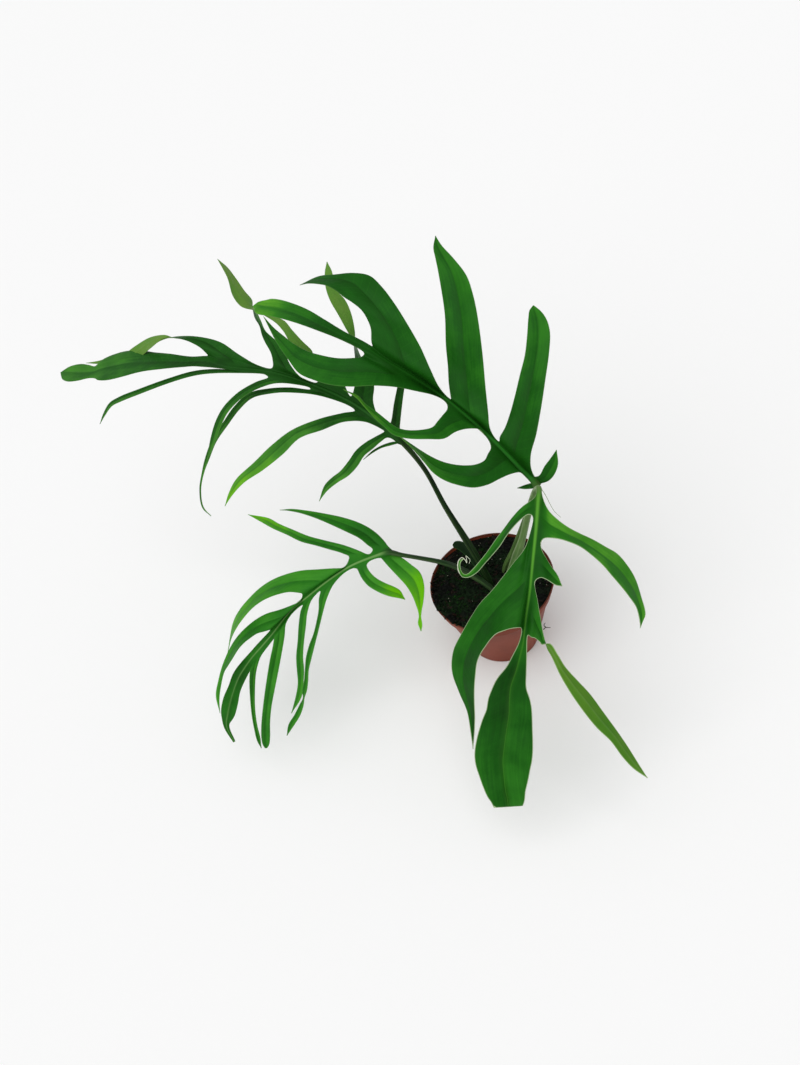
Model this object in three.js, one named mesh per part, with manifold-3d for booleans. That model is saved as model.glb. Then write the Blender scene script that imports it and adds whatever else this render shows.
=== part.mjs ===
// A young Monstera croatii in a plastic nursery pot: four deeply lobed leaves on long petioles, which rise from a
// short crown in dark, mossy potting soil. Millimetres, +Z up, origin at the middle of the pot's underside.
import * as THREE from "three";
import { mergeVertices } from "three/addons/utils/BufferGeometryUtils.js";
import Module from "manifold-3d";

const wasm = await Module();
wasm.setup();

// Driving dimensions of the pot: a thin wall that widens upwards to a stepped rim band
const RIM_DIAMETER = 120;
const POT_HEIGHT = 87;
const FOOT_DIAMETER = 72;
const RIM_BAND = { height: 14, stand: 2.2 };
const POT_WALL = 1.4;
const POT_FLOOR = 2.2;
const POT_SIDES = 48;
const DRAIN = { count: 8, diameter: 8, circle: 48, sides: 10 };

// The soil fills the pot to a little under its rim, with lumps of this height and this many grid lines
const SOIL = { level: 83, lump: 1.5, gap: 0.3, sectors: 32, rings: 5 };

// How deep the stems stand in the soil, and the gap round them there
const ROOT_DEPTH = 24;
const STEM_GAP = 0.35;

// Thickness of the blades and of the rib along the middle of each lobe, and how far the edges of a lobe turn up,
// as a share of half its width
const BLADE = 0.8;
const VEIN = 0.5;
const CUP = 0.16;

// Spacing of the points along a lobe and along a stem, and the width from which a lobe has more of them across
const LOBE_STEP = 14;
const STEM_STEP = 18;
const STEM_SIDES = 6;
const BROAD = 12;

// The habit of the plant is drawn as a sketch of it from above its front. A point on a leaf is [x, y, height]:
// where it shows on the sketch, and how high it is above the table in millimetres.
const SKETCH = {
  width: 800,
  height: 1065,
  elevation: 47,
  roll: 18.5,
  distance: 950,
  rimCentre: [491.4, 580.2],
  rimWidth: 125,
};
const UNIT = RIM_DIAMETER / SKETCH.rimWidth;
const FOCAL = SKETCH.distance / UNIT;

// Half the width of the narrow wing that joins the lobes along the midrib, in units of the sketch
const WING = 3;

// The far leaf is the darkest: it reaches back and left on a long petiole, with narrow lobes, some turned over.
// petiole: [x, y, height, width seen]. rib: the midrib as far as the end lobe. A lobe stands on the midrib
// between the two points of its foot. Each of its rows crosses it: [x, y] of its edge on the petiole's side,
// [x, y] of its other edge, the height of its middle and, where it turns over, how much higher the second edge is.
const LEAF_FAR = {
  petiole: [
    [491, 585, 86, 6],
    [484, 571, 104, 6.5],
    [476, 556, 124, 7],
    [466.5, 540.5, 143, 7],
    [445.5, 507, 174, 5.5],
    [424.5, 469, 212, 5],
  ],
  rib: [
    [401, 441, 244],
    [380, 423, 257],
    [350, 402, 270],
    [310, 384, 283],
    [270, 372, 290],
    [225, 366, 294],
  ],
  ribRadius: [2.4, 0.7],
  end: [
    [205, 357, 207, 366, 294],
    [190, 356.5, 180, 367, 293],
    [170, 354, 162, 369, 292],
    [150, 353, 145, 371, 290],
    [130, 352, 128, 375, 287],
    [115, 354, 110, 379, 284],
    [103, 359, 99, 379, 282],
    [94, 367, 92, 378, 280],
    [84, 367, 83, 380.5, 279],
    [74, 367.5, 74, 381.5, 278],
    [66, 370, 66, 377, 277],
    [60, 373, 60, 373, 276],
  ],
  lobes: [
    {
      foot: [398, 438, 384, 427],
      rows: [
        [400, 424, 391, 422, 262],
        [402, 405, 394, 404, 275],
        [404, 390, 397, 389, 287],
        [407, 372, 401, 372, 298],
        [405, 360, 405, 360, 305],
      ],
    },
    {
      foot: [376, 419, 349, 401],
      rows: [
        [373, 401, 353, 393, 271],
        [374, 386, 355, 384, 281],
        [369, 370, 356, 369, 292],
        [361, 357, 355, 357, 303, -6],
        [356, 346, 354, 345, 313, -10],
        [349, 334, 355, 335, 322, -5],
        [340, 315, 352, 315, 338],
        [332, 300, 346, 300, 350],
        [326, 286, 335, 287, 359],
        [325, 272, 332, 272, 368],
        [327, 262, 327, 262, 374],
      ],
    },
    {
      foot: [349, 401, 316, 387],
      rows: [
        [345, 386, 318, 377, 284],
        [337, 371, 319, 365, 294],
        [327, 362, 315, 359, 300, -4],
        [317, 356, 313, 357, 304, -9],
        [301, 353, 312, 351, 306, -4],
        [290, 342, 302, 341, 309],
        [284, 332, 292, 330, 311],
        [276, 323, 283, 320, 312],
        [262, 314, 262, 314, 311],
      ],
    },
    {
      foot: [313, 386, 272, 372],
      rows: [
        [302, 378, 273, 362, 294],
        [291, 366, 271, 353, 298],
        [283, 350, 265, 342, 303],
        [274, 339, 263, 335, 307],
        [266, 331, 261.5, 326, 311],
        [261, 318, 256, 317, 315, -5],
        [255, 308, 253, 308, 320, -9],
        [246, 306, 252, 300, 325, -5],
        [240, 304, 243, 292, 330],
        [232, 294, 234, 279, 337],
        [227, 277, 226, 268, 344],
        [218, 260, 218, 260, 352],
      ],
    },
    {
      foot: [268, 372, 205, 362],
      rows: [
        [255, 364, 206, 353, 296],
        [238, 354, 202, 349, 300],
        [222, 343, 197, 345.5, 303],
        [206, 338, 189, 341.5, 306],
        [189, 336, 181, 339, 308, 3],
        [173, 337, 174, 338, 308, 8],
        [160, 341, 164, 335, 306, 4],
        [152, 347, 150, 337.5, 301],
        [144, 354, 134, 347, 291],
        [136, 361, 122, 356, 280],
        [118, 364, 108, 358, 270],
        [100, 364, 98, 361, 265],
        [86, 363, 86, 363, 262],
      ],
    },
    {
      foot: [404, 444, 399, 440],
      rows: [
        [391, 446, 389, 442, 243],
        [381, 449, 379, 445.5, 240],
        [372.5, 454.5, 371, 451.5, 236],
        [362, 461, 362, 461, 231],
      ],
    },
    {
      foot: [398, 440, 386, 429],
      rows: [
        [389, 437.5, 386.5, 431.5, 250],
        [380, 440, 376, 434, 250],
        [371.5, 446, 364.5, 440, 247],
        [363, 459, 353, 451, 240],
        [355, 470, 345, 462, 232],
        [342, 482, 334, 474, 222],
        [328.5, 492.5, 323.5, 487.5, 212],
        [319, 501, 319, 501, 203],
      ],
    },
    {
      foot: [386, 429, 352, 404],
      rows: [
        [368, 425, 355, 411, 262],
        [346, 422.5, 343, 413.5, 264],
        [321, 429.5, 318, 420.5, 262],
        [297.5, 441, 292, 430, 256],
        [281, 457, 270.5, 444.5, 247],
        [259, 472, 251, 462, 236],
        [241, 485, 235.5, 479, 225],
        [231, 497, 227.5, 495.5, 215],
        [225, 506, 225, 506, 208],
      ],
    },
    {
      foot: [352, 404, 310, 386],
      rows: [
        [321, 396, 310, 389.5, 279],
        [290, 392.5, 290, 387.5, 280],
        [271, 393.5, 269, 388.5, 277],
        [251.5, 398.5, 248.5, 393.5, 270],
        [239.5, 410, 234.5, 406, 262],
        [228.5, 425.5, 223.5, 422.5, 252],
        [217.5, 441.5, 212.5, 438.5, 241],
        [210.5, 459, 205.5, 457, 228],
        [205, 473, 202, 472, 217],
        [201, 490, 199.5, 490, 204],
        [203.5, 507, 202.5, 508, 190],
        [211, 516, 211, 516, 184],
      ],
    },
    {
      foot: [310, 386, 266, 373],
      rows: [
        [282, 383, 268, 376.5, 288],
        [262, 387, 256, 381, 285],
        [242, 398, 238, 392, 280],
        [228.5, 411.5, 223.5, 406.5, 273],
        [222, 423.5, 216, 420.5, 266],
        [215.5, 441, 210.5, 439, 256],
        [207, 460, 207, 460, 243],
      ],
    },
    {
      foot: [265, 372, 222, 366],
      rows: [
        [241, 372, 229, 368, 292],
        [215, 372, 215, 367.5, 292],
        [195, 374, 194, 369.5, 290],
        [170.5, 381, 169.5, 376.5, 284],
        [141, 392, 139, 387.5, 276],
        [121, 400.5, 119, 396, 269],
        [111.5, 406.5, 109, 403.5, 264],
        [105, 415.5, 103, 414.5, 258],
        [100, 424, 100, 424, 252],
      ],
    },
  ],
};

// The upper leaf stands highest, its blade tipped towards the front, with the broadest lobes
const LEAF_UPPER = {
  petiole: [
    [505, 570, 86, 6],
    [514, 549, 116, 6],
    [524, 523, 158, 6],
    [532, 500, 198, 6],
  ],
  rib: [
    [537, 486, 224],
    [520, 468, 236],
    [500, 447, 250],
    [480, 428, 265],
    [450, 402, 288],
    [415, 378, 313],
    [385, 360, 332],
  ],
  ribRadius: [2.6, 0.7],
  end: [
    [371, 346, 367, 353, 342],
    [360, 338, 354, 346, 345],
    [345, 330, 338, 338.5, 348],
    [325, 318, 316, 330, 352],
    [305, 307, 297, 323, 355],
    [290, 301, 282, 318.5, 357],
    [275, 298.5, 270, 315.5, 358],
    [265, 299, 262, 313.5, 358],
    [258, 302, 257, 309, 358],
    [255, 305.5, 255, 305.5, 357],
  ],
  lobes: [
    {
      foot: [539, 488, 531, 479],
      rows: [
        [547, 480, 539, 475, 232],
        [553, 473, 544, 466, 240],
        [557, 463, 550, 458, 248],
        [556.5, 450, 556.5, 450, 256],
      ],
    },
    {
      foot: [531, 479, 498, 445],
      rows: [
        [530.5, 465, 500, 437, 250],
        [531, 453, 505, 428, 257],
        [536, 435, 509, 414, 266],
        [541, 408, 514, 396, 280],
        [545.5, 378, 519, 375, 294],
        [549.5, 352, 524, 355, 307],
        [551, 332, 527, 335, 317],
        [547, 317, 528.5, 318, 324],
        [540, 308.5, 530.5, 308.5, 327],
        [534.5, 304.5, 534.5, 304.5, 329],
      ],
    },
    {
      foot: [492, 439, 450, 402],
      rows: [
        [489.5, 427, 452, 397, 280],
        [488, 412, 450.5, 384, 288],
        [485.5, 388, 449.5, 366, 300],
        [482.5, 355, 447, 345, 318],
        [478, 320, 445.5, 315, 337],
        [473, 295, 442, 290, 350],
        [466, 275, 438.5, 270, 361],
        [453, 258, 436, 258, 367],
        [442, 246, 434, 247, 371],
        [435.5, 236, 435.5, 236, 374],
      ],
    },
    {
      foot: [444, 398, 371, 350],
      rows: [
        [437, 385, 371, 340, 330],
        [428, 367, 370.5, 329, 340],
        [419, 347, 368, 319, 350],
        [407, 325, 363, 309, 361],
        [394, 303, 355, 301, 370],
        [381, 286, 346, 295.5, 377],
        [369, 275.5, 338, 290.5, 381],
        [353, 273, 328, 286, 384],
        [335, 274.5, 318, 284, 384],
        [318, 276.5, 308, 283.5, 382],
        [300, 285, 300, 285, 379],
      ],
    },
    {
      foot: [440, 395, 369, 350],
      rows: [
        [432, 394.5, 364, 355, 322],
        [416, 391, 360, 357.5, 328],
        [396, 387, 354, 358, 333],
        [374, 385.5, 345, 358.5, 337],
        [352, 386.5, 335, 358, 339],
        [332, 385, 322, 355.5, 339],
        [314, 380, 308, 351.5, 338],
        [299, 373, 294, 344, 337],
        [288, 359, 283, 335.5, 336],
        [277, 343, 274, 328, 336],
        [263.5, 316.5, 263.5, 316.5, 337],
      ],
    },
    {
      foot: [486, 433, 449, 402],
      rows: [
        [481, 431, 446, 409, 277],
        [468, 431, 441, 415, 281],
        [456, 433.5, 436, 421, 284],
        [444, 438.5, 430, 427.5, 286],
        [428, 439, 419, 430, 288],
        [408, 438.5, 406, 430, 289],
        [394, 435, 396, 427, 290],
        [384, 427.5, 386, 420.5, 291],
        [374, 419, 375.5, 412, 292],
        [365, 409, 366, 405.5, 294],
        [356, 399, 357.5, 396.5, 297],
        [344, 390, 344, 390, 301],
      ],
    },
    {
      foot: [528, 476, 492, 439],
      rows: [
        [522, 475, 491.5, 447, 246],
        [512, 476, 488, 454, 248],
        [500, 480, 484.5, 460.5, 249],
        [488, 485, 476, 464.5, 250],
        [474, 487.5, 466, 465.5, 251],
        [458, 485, 454, 464.5, 253],
        [444, 479.5, 442, 461.5, 256],
        [433, 472, 431, 456.5, 260],
        [424, 462, 421, 450.5, 265],
        [414, 450.5, 412, 444.5, 272],
        [398, 435, 398, 435, 282],
      ],
    },
    {
      foot: [539, 488, 533, 481],
      rows: [
        [530, 489.5, 530, 482, 223],
        [523, 490, 524, 485, 222],
        [518, 488, 518, 488, 221],
      ],
    },
  ],
};

// The front leaf arches over at the top of a pale petiole and hangs down over the pot's rim
const LEAF_FRONT = {
  petiole: [
    [508, 581, 86, 7],
    [513, 567, 108, 8.5],
    [517, 555, 126, 9],
    [522, 540, 146, 7],
    [527, 519, 182, 6.5],
    [532, 500, 220, 6.5],
    [536.5, 489.5, 247, 6.5],
  ],
  rib: [
    [539, 489, 257],
    [538, 503, 255],
    [536, 530, 244],
    [533, 560, 229],
    [530, 590, 212],
    [526, 618, 194],
  ],
  ribRadius: [2.6, 0.9],
  end: [
    [522, 631, 527, 633, 186],
    [520, 643, 527, 645, 178],
    [513, 654, 527, 656, 170],
    [503, 670, 527, 671, 159],
    [493, 686.5, 527.5, 687, 148],
    [488, 700, 531, 701, 139],
    [485.5, 716, 533, 716, 129],
    [480, 730, 533, 731, 119],
    [476, 745, 533, 747, 109],
    [475, 760, 532, 761, 99],
    [479, 775, 530.5, 776, 88],
    [485, 790, 528.5, 789, 79],
    [490, 801, 525.5, 798.5, 72],
    [494, 807.5, 519, 805.5, 67],
    [500, 809.5, 510, 809, 65],
  ],
  lobes: [
    {
      foot: [539, 497, 536, 520],
      step: 8,
      rows: [
        [531, 500.5, 528, 517, 250],
        [522, 507, 521.5, 520, 246],
        [513, 516.5, 514, 526.5, 239],
        [504, 528.5, 506.5, 536, 230],
        [495, 540.5, 500, 546, 221],
        [487, 552, 492, 555.5, 211],
        [479, 562, 484.5, 564, 202],
        [472, 570, 477, 572.5, 196],
        [467, 573.5, 469, 577.5, 193],
        [463.5, 573, 462, 577, 193],
        [461, 570.5, 458.5, 573, 196],
        [460, 565.5, 457.3, 567, 200],
        [460.5, 561.5, 457.5, 560, 204],
        [464, 558.5, 464, 558.5, 206],
      ],
    },
    {
      foot: [536, 520, 525, 628],
      rows: [
        [529, 536, 520, 627.5, 225],
        [521, 549.5, 511, 628.5, 222],
        [511, 563, 503, 631, 217],
        [500, 577, 496, 634, 210],
        [489, 591, 490, 640, 202],
        [478, 603, 485, 647, 193],
        [468, 616.5, 480.5, 654, 184],
        [460.5, 633, 477, 663, 173],
        [452.5, 651, 475.5, 675, 160],
        [452, 671, 475, 688, 147],
        [459, 692, 475.5, 702, 133],
        [467, 711, 476, 717, 120],
        [470.5, 731, 475, 731, 108],
        [473, 749, 473, 749, 97],
      ],
    },
    {
      foot: [539, 495, 536, 540],
      rows: [
        [544, 502, 544, 538, 247],
        [549, 511, 551, 538, 244],
        [557, 519, 559, 539, 240],
        [567, 526.5, 569, 542, 235],
        [579, 533, 580.5, 547, 228],
        [593, 539.5, 592, 555.5, 221],
        [606, 547, 603, 565.5, 213],
        [617, 553.5, 612, 576, 205],
        [626, 563.5, 621.5, 587, 197],
        [634, 578, 630, 598, 188],
        [640, 596, 636, 606.5, 178],
        [644, 610, 639.5, 617, 169],
        [643, 626, 643, 626, 163],
      ],
    },
    {
      foot: [536, 540, 532, 580],
      rows: [
        [541, 549, 539, 577, 232],
        [545.5, 557, 545.5, 579, 228],
        [551, 566, 550.5, 582, 223],
        [556.5, 575, 555.5, 585, 218],
        [562, 586, 562, 586, 212],
      ],
    },
    {
      foot: [532, 582, 525, 632],
      rows: [
        [537, 598, 531, 637, 203],
        [539.5, 613, 535, 638, 197],
        [541.5, 627, 539.5, 642, 190, 4],
        [545.5, 641, 544, 645, 183, 9],
        [552.5, 657, 553, 653, 175, 5],
        [561, 673, 562, 665, 165],
        [570.5, 692, 574, 680, 154],
        [581, 708, 588, 694.5, 144],
        [595, 728, 601, 711, 132],
        [609, 741.5, 615, 729, 121],
        [621, 757, 626, 745, 110],
        [634, 769, 637, 761, 99],
        [648, 778, 648, 778, 89],
      ],
    },
  ],
};

// The left leaf is the lowest and most finely cut, and hangs to the left and front
const LEAF_LEFT = {
  petiole: [
    [495, 592, 86, 6],
    [484, 582.5, 98, 6.5],
    [472, 575, 108, 7],
    [459, 568, 120, 6.5],
    [445, 563, 131, 5.5],
    [420, 558, 147, 4.5],
    [402, 555, 157, 4.5],
  ],
  rib: [
    [389, 552.5, 161],
    [370, 558, 160],
    [350, 567, 157],
    [330, 580, 152],
    [310, 595, 145],
    [290, 612, 135],
  ],
  ribRadius: [2.1, 0.6],
  end: [
    [268, 631, 275, 634, 122],
    [256, 642, 266, 646, 115],
    [246, 654, 257, 658, 108],
    [236, 666, 250, 668, 101],
    [229, 678, 244.5, 678, 94],
    [225, 690, 240, 690, 87],
    [221.5, 704, 237.5, 703, 79],
    [221, 717, 233.5, 716, 71],
    [224.5, 729, 229.5, 726, 65],
    [234, 742, 234, 742, 57],
  ],
  lobes: [
    {
      foot: [389, 552, 371, 557],
      rows: [
        [387, 545, 373, 550, 164],
        [380, 536.5, 367, 544.5, 168],
        [370, 528.5, 359, 538, 171],
        [357, 522, 347, 532, 174],
        [341, 516.5, 333, 525.5, 175],
        [324, 512.5, 318, 519, 175],
        [306, 509.5, 302, 513.5, 174],
        [291, 508, 289, 510.5, 172],
        [279, 510, 279, 510, 170],
      ],
    },
    {
      foot: [371, 557, 349, 568],
      rows: [
        [366, 551.5, 350, 557.5, 162],
        [357, 547.5, 343, 553, 164],
        [343, 542.5, 330, 549, 165],
        [325, 538.5, 316, 545.5, 166],
        [309, 534.5, 301, 541.5, 166],
        [294, 528, 286.5, 534.5, 165],
        [280, 521.5, 273, 528.5, 163],
        [267, 516.5, 260.5, 521.5, 160],
        [247, 514, 247, 514, 156],
      ],
    },
    {
      foot: [349, 568, 303, 601],
      rows: [
        [344, 567, 303, 593.5, 154],
        [332, 568.5, 297, 592.5, 155],
        [317, 569.5, 289, 592, 155],
        [302, 570.5, 281, 593.5, 154],
        [287, 574, 271.5, 596.5, 151],
        [273, 579.5, 262, 601, 147],
        [260.5, 587.5, 252.5, 608, 142],
        [249, 598.5, 243.5, 618, 136],
        [239.5, 610, 236.5, 628, 129],
        [233, 623, 231.5, 638, 121],
        [226, 655, 226, 655, 111],
      ],
    },
    {
      foot: [303, 601, 270, 633],
      rows: [
        [299, 602.5, 267, 631.5, 139],
        [290, 607, 263, 632.5, 138],
        [279, 611.5, 257, 634, 136],
        [267, 614.5, 251, 637.5, 134],
        [256, 620, 244.5, 642.5, 130],
        [246, 627.5, 238.5, 649, 126],
        [237.5, 636.5, 233.5, 657, 121],
        [230, 648, 229, 665, 116],
        [224, 662, 224.5, 672, 110],
        [219.5, 680, 221, 685, 101],
        [217.5, 697, 219, 699, 92],
        [221, 713, 221, 713, 83],
      ],
    },
    {
      foot: [391, 551, 380, 554.5],
      rows: [
        [395, 554, 383, 560, 157],
        [403, 558.5, 389.5, 567.5, 153],
        [411.5, 565, 398, 576.5, 148],
        [420, 572.5, 406.5, 586, 142],
        [424, 585, 412.5, 596, 134],
        [423.5, 600, 416.5, 606, 126],
        [421.5, 611.5, 418.5, 612.5, 120],
        [421, 617, 419, 617, 117],
        [422, 622.5, 418, 623, 114],
        [422, 627, 419.5, 627.5, 112],
        [421, 631, 421, 631, 110],
      ],
    },
    {
      foot: [370, 558, 356, 564],
      rows: [
        [367.5, 563.5, 359, 569, 157],
        [370, 570, 362, 577, 154],
        [376.5, 577.5, 368.5, 585, 150],
        [385, 583, 378.5, 592, 145],
        [394, 586.8, 389.5, 596.3, 140],
        [400.5, 591, 398.5, 598, 136],
        [405, 599.5, 405, 599.5, 132],
      ],
    },
    {
      foot: [341, 573, 319, 588],
      rows: [
        [333, 583, 320.5, 592, 149],
        [326.5, 598, 319, 599, 145],
        [323, 610, 318.7, 610, 140],
        [320.5, 622, 316.7, 622, 134],
        [317.5, 634, 314, 634, 128],
        [314, 646, 309, 646, 122],
        [311.3, 658, 306, 658, 115],
        [308.5, 670, 305, 670, 109],
        [308, 682, 304, 682, 102],
        [307, 690, 302.3, 690, 97, -2],
        [304.5, 698, 303.5, 698, 93, -5],
        [300, 706, 305, 705, 88, -2],
        [296, 716, 302, 715, 82],
        [289, 726, 295, 725, 75],
        [287, 735, 287, 735, 69],
      ],
    },
    {
      foot: [319, 588, 302, 602],
      rows: [
        [313, 598, 303, 605, 141],
        [308, 612, 300.5, 612, 135],
        [306, 626, 298.7, 626, 127],
        [304, 641, 297.8, 641, 119],
        [303, 657, 296.3, 657, 110],
        [304, 670, 297, 670, 102],
        [303.5, 682, 298, 682, 94],
        [303, 691, 297, 691, 88],
        [300, 700, 295, 700, 83],
        [291.5, 713, 291.5, 713, 76],
      ],
    },
    {
      foot: [289, 613, 274, 630],
      rows: [
        [286, 622, 275, 635, 128],
        [284.5, 635, 272.7, 646, 121],
        [282, 651, 270, 660, 113],
        [278.5, 670, 267.5, 675, 103],
        [274.5, 690, 265, 692, 92],
        [271.5, 706, 263, 708, 83],
        [270, 722, 261.5, 724, 74],
        [270, 737, 261.5, 738, 66],
        [269, 745, 263, 745, 61],
        [267, 748, 265, 748, 60],
      ],
    },
    {
      foot: [265, 640, 245, 664],
      rows: [
        [261, 650, 250, 668, 107],
        [257, 661, 249.8, 675, 101],
        [254.5, 675, 249.7, 684, 93],
        [254.3, 695, 250.5, 698, 81],
        [255, 713, 252, 714, 70],
        [257.5, 728, 254, 730, 60],
        [260.5, 739, 257.5, 741, 53],
        [261.5, 748, 261.5, 748, 47],
      ],
    },
  ],
};

// What is left of an older petiole bends out of the crown, cut off at its end: [x, y, height, width seen]
const OLD_PETIOLE = [
  [488, 579, 86, 7],
  [480, 567, 97, 8],
  [470, 554, 104, 8.5],
  [460, 545.5, 107, 8.5],
  [453, 545, 106, 6],
];

const COLOURS = {
  pot: 0xa9674c,
  soil: 0x1b2012,
  farLeaf: 0x124d1c,
  upperLeaf: 0x1b6422,
  frontLeaf: 0x226b25,
  leftLeaf: 0x237027,
  oldPetiole: 0x2c4a24,
};

const elevation = THREE.MathUtils.degToRad(SKETCH.elevation);
const roll = THREE.MathUtils.degToRad(SKETCH.roll);
const ahead = new THREE.Vector3(0, Math.cos(elevation), -Math.sin(elevation));
const across = new THREE.Vector3(1, 0, 0).applyAxisAngle(ahead, roll);
const upward = new THREE.Vector3(0, Math.sin(elevation), Math.cos(elevation)).applyAxisAngle(ahead, roll);
const eye = new THREE.Vector3(0, 0, POT_HEIGHT)
  .addScaledVector(ahead, -SKETCH.distance)
  .addScaledVector(across, -(SKETCH.rimCentre[0] - SKETCH.width / 2) * UNIT)
  .addScaledVector(upward, -(SKETCH.height / 2 - SKETCH.rimCentre[1]) * UNIT);

// The point at a height above the table that shows at (x, y) on the sketch
function seen(x, y, height) {
  const ray = ahead
    .clone()
    .addScaledVector(across, (x - SKETCH.width / 2) / FOCAL)
    .addScaledVector(upward, (SKETCH.height / 2 - y) / FOCAL);
  return eye.clone().addScaledVector(ray, (height - eye.z) / ray.z);
}

// Millimetres for one unit of the sketch at a point
function unitAt(point) {
  return point.clone().sub(eye).dot(ahead) / FOCAL;
}

// A row of a lobe as its two edge points and its middle
function sectionOf([x1, y1, x2, y2, height, turn = 0]) {
  const first = seen(x1, y1, height - turn / 2);
  const second = seen(x2, y2, height + turn / 2);
  return { first, second, middle: first.clone().lerp(second, 0.5) };
}

// A smooth curve through rows of numbers, a centripetal Catmull-Rom spline paced by the first three. Its argument is
// the row's number, where 1.5 is between rows 1 and 2.
function curveThrough(rows) {
  const mirrored = (a, b) => a.map((v, i) => 2 * v - b[i]);
  const all = [mirrored(rows[0], rows[1]), ...rows, mirrored(rows.at(-1), rows.at(-2))];
  const gap = (a, b) => Math.max(Math.sqrt(Math.hypot(a[0] - b[0], a[1] - b[1], a[2] - b[2])), 1e-3);
  return (number) => {
    const k = Math.min(Math.max(Math.floor(number), 0), rows.length - 2);
    const p = all.slice(k, k + 4);
    const t = [0];
    for (let i = 0; i < 3; i++) t.push(t[i] + gap(p[i], p[i + 1]));
    const x = t[1] + (t[2] - t[1]) * (number - k);
    const mix = (a, b, from, to) => a.map((v, i) => (v * (to - x) + b[i] * (x - from)) / (to - from));
    const near = [0, 1, 2].map((i) => mix(p[i], p[i + 1], t[i], t[i + 1]));
    const nearer = [0, 1].map((i) => mix(near[i], near[i + 1], t[i], t[i + 2]));
    return mix(nearer[0], nearer[1], t[1], t[2]);
  };
}

// Rows spread evenly along such a curve, about one every step millimetres
function spread(rows, step, fewest) {
  const curve = curveThrough(rows);
  const samples = 40 * (rows.length - 1);
  const fine = [];
  for (let i = 0; i <= samples; i++) fine.push(curve((i * (rows.length - 1)) / samples));
  const run = [0];
  for (let i = 1; i <= samples; i++) {
    const [a, b] = [fine[i - 1], fine[i]];
    run.push(run[i - 1] + Math.hypot(b[0] - a[0], b[1] - a[1], b[2] - a[2]));
  }
  const count = Math.max(fewest, Math.round(run[samples] / step));
  const out = [];
  for (let i = 0, k = 0; i <= count; i++) {
    while (k < samples && run[k] < (run[samples] * i) / count - 1e-6) k++;
    out.push({ values: fine[k], run: run[k] });
  }
  return out;
}

function surface(position, index) {
  return new THREE.BufferGeometry()
    .setAttribute("position", new THREE.Float32BufferAttribute(position, 3))
    .setIndex(index);
}

// A closed surface through rings of points, all with the same number, with a flat cap at each end
function closedTube(rings) {
  const n = rings[0].length;
  const index = [];
  for (let i = 0; i + 1 < rings.length; i++)
    for (let j = 0; j < n; j++) {
      const a = i * n + j;
      const b = i * n + ((j + 1) % n);
      index.push(a, b, b + n, a, b + n, a + n);
    }
  const last = (rings.length - 1) * n;
  for (let j = 1; j + 1 < n; j++) index.push(0, j + 1, j, last, last + j, last + j + 1);
  return surface(rings.flat().flatMap((p) => p.toArray()), index);
}

// A thin closed blade: a grid of points made as thick as the function of row and column says, with both faces
// split into triangles alike
function closedBlade(grid, thickness) {
  const rows = grid.length;
  const columns = grid[0].length;
  const at = (i, j) => grid[Math.min(Math.max(i, 0), rows - 1)][Math.min(Math.max(j, 0), columns - 1)];
  const position = [1, -1].flatMap((face) =>
    grid.flatMap((row, i) =>
      row.flatMap((p, j) => {
        const along = at(i + 1, j).clone().sub(at(i - 1, j));
        const over = at(i, j + 1).clone().sub(at(i, j - 1));
        const normal = along.cross(over).normalize();
        return p.clone().addScaledVector(normal, (face * thickness(i, j)) / 2).toArray();
      }),
    ),
  );
  const number = (face, i, j) => (face * rows + i) * columns + j;
  const index = [];
  for (let i = 0; i + 1 < rows; i++)
    for (let j = 0; j + 1 < columns; j++) {
      const [a, b, c, d] = [number(0, i, j), number(0, i + 1, j), number(0, i + 1, j + 1), number(0, i, j + 1)];
      const under = rows * columns;
      index.push(a, b, c, a, c, d, a + under, c + under, b + under, a + under, d + under, c + under);
    }
  const rim = [];
  for (let i = 0; i < rows; i++) rim.push([i, 0]);
  for (let j = 1; j < columns; j++) rim.push([rows - 1, j]);
  for (let i = rows - 2; i >= 0; i--) rim.push([i, columns - 1]);
  for (let j = columns - 2; j > 0; j--) rim.push([0, j]);
  rim.forEach(([i, j], k) => {
    const [m, n] = rim[(k + 1) % rim.length];
    const [a, b, c, d] = [number(0, i, j), number(1, i, j), number(1, m, n), number(0, m, n)];
    index.push(a, b, c, a, c, d);
  });
  return surface(position, index);
}

// A closed geometry as a solid for joining and cutting, and a solid back as a geometry
function solidOf(geometry) {
  const bare = geometry.clone();
  bare.deleteAttribute("normal");
  bare.deleteAttribute("uv");
  const merged = mergeVertices(bare, 1e-4);
  const vertProperties = new Float32Array(merged.attributes.position.array);
  const make = (triVerts) => new wasm.Manifold(new wasm.Mesh({ numProp: 3, vertProperties, triVerts }));
  const solid = make(new Uint32Array(merged.index.array));
  if (solid.volume() > 0) return solid;
  return make(new Uint32Array(merged.index.array).reverse());
}

function geometryOf(solid) {
  const mesh = solid.getMesh();
  const made = surface(Array.from(mesh.vertProperties), Array.from(mesh.triVerts));
  made.computeVertexNormals();
  return made;
}

// A round stem through [x, y, z, radius], made fatter all over by grow
function stem(stations, grow = 0) {
  const rows = spread(stations, STEM_STEP, 3).map((row) => row.values);
  const points = rows.map(([x, y, z]) => new THREE.Vector3(x, y, z));
  let side = new THREE.Vector3(1, 0, 0);
  const rings = points.map((point, i) => {
    const after = points[Math.min(i + 1, points.length - 1)];
    const along = after.clone().sub(points[Math.max(i - 1, 0)]).normalize();
    side = side.clone().addScaledVector(along, -side.dot(along)).normalize();
    const other = along.clone().cross(side);
    return Array.from({ length: STEM_SIDES }, (_, k) => {
      const angle = (2 * Math.PI * k) / STEM_SIDES;
      const radius = rows[i][3] + grow;
      return point
        .clone()
        .addScaledVector(side, radius * Math.cos(angle))
        .addScaledVector(other, radius * Math.sin(angle));
    });
  });
  return closedTube(rings);
}

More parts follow.
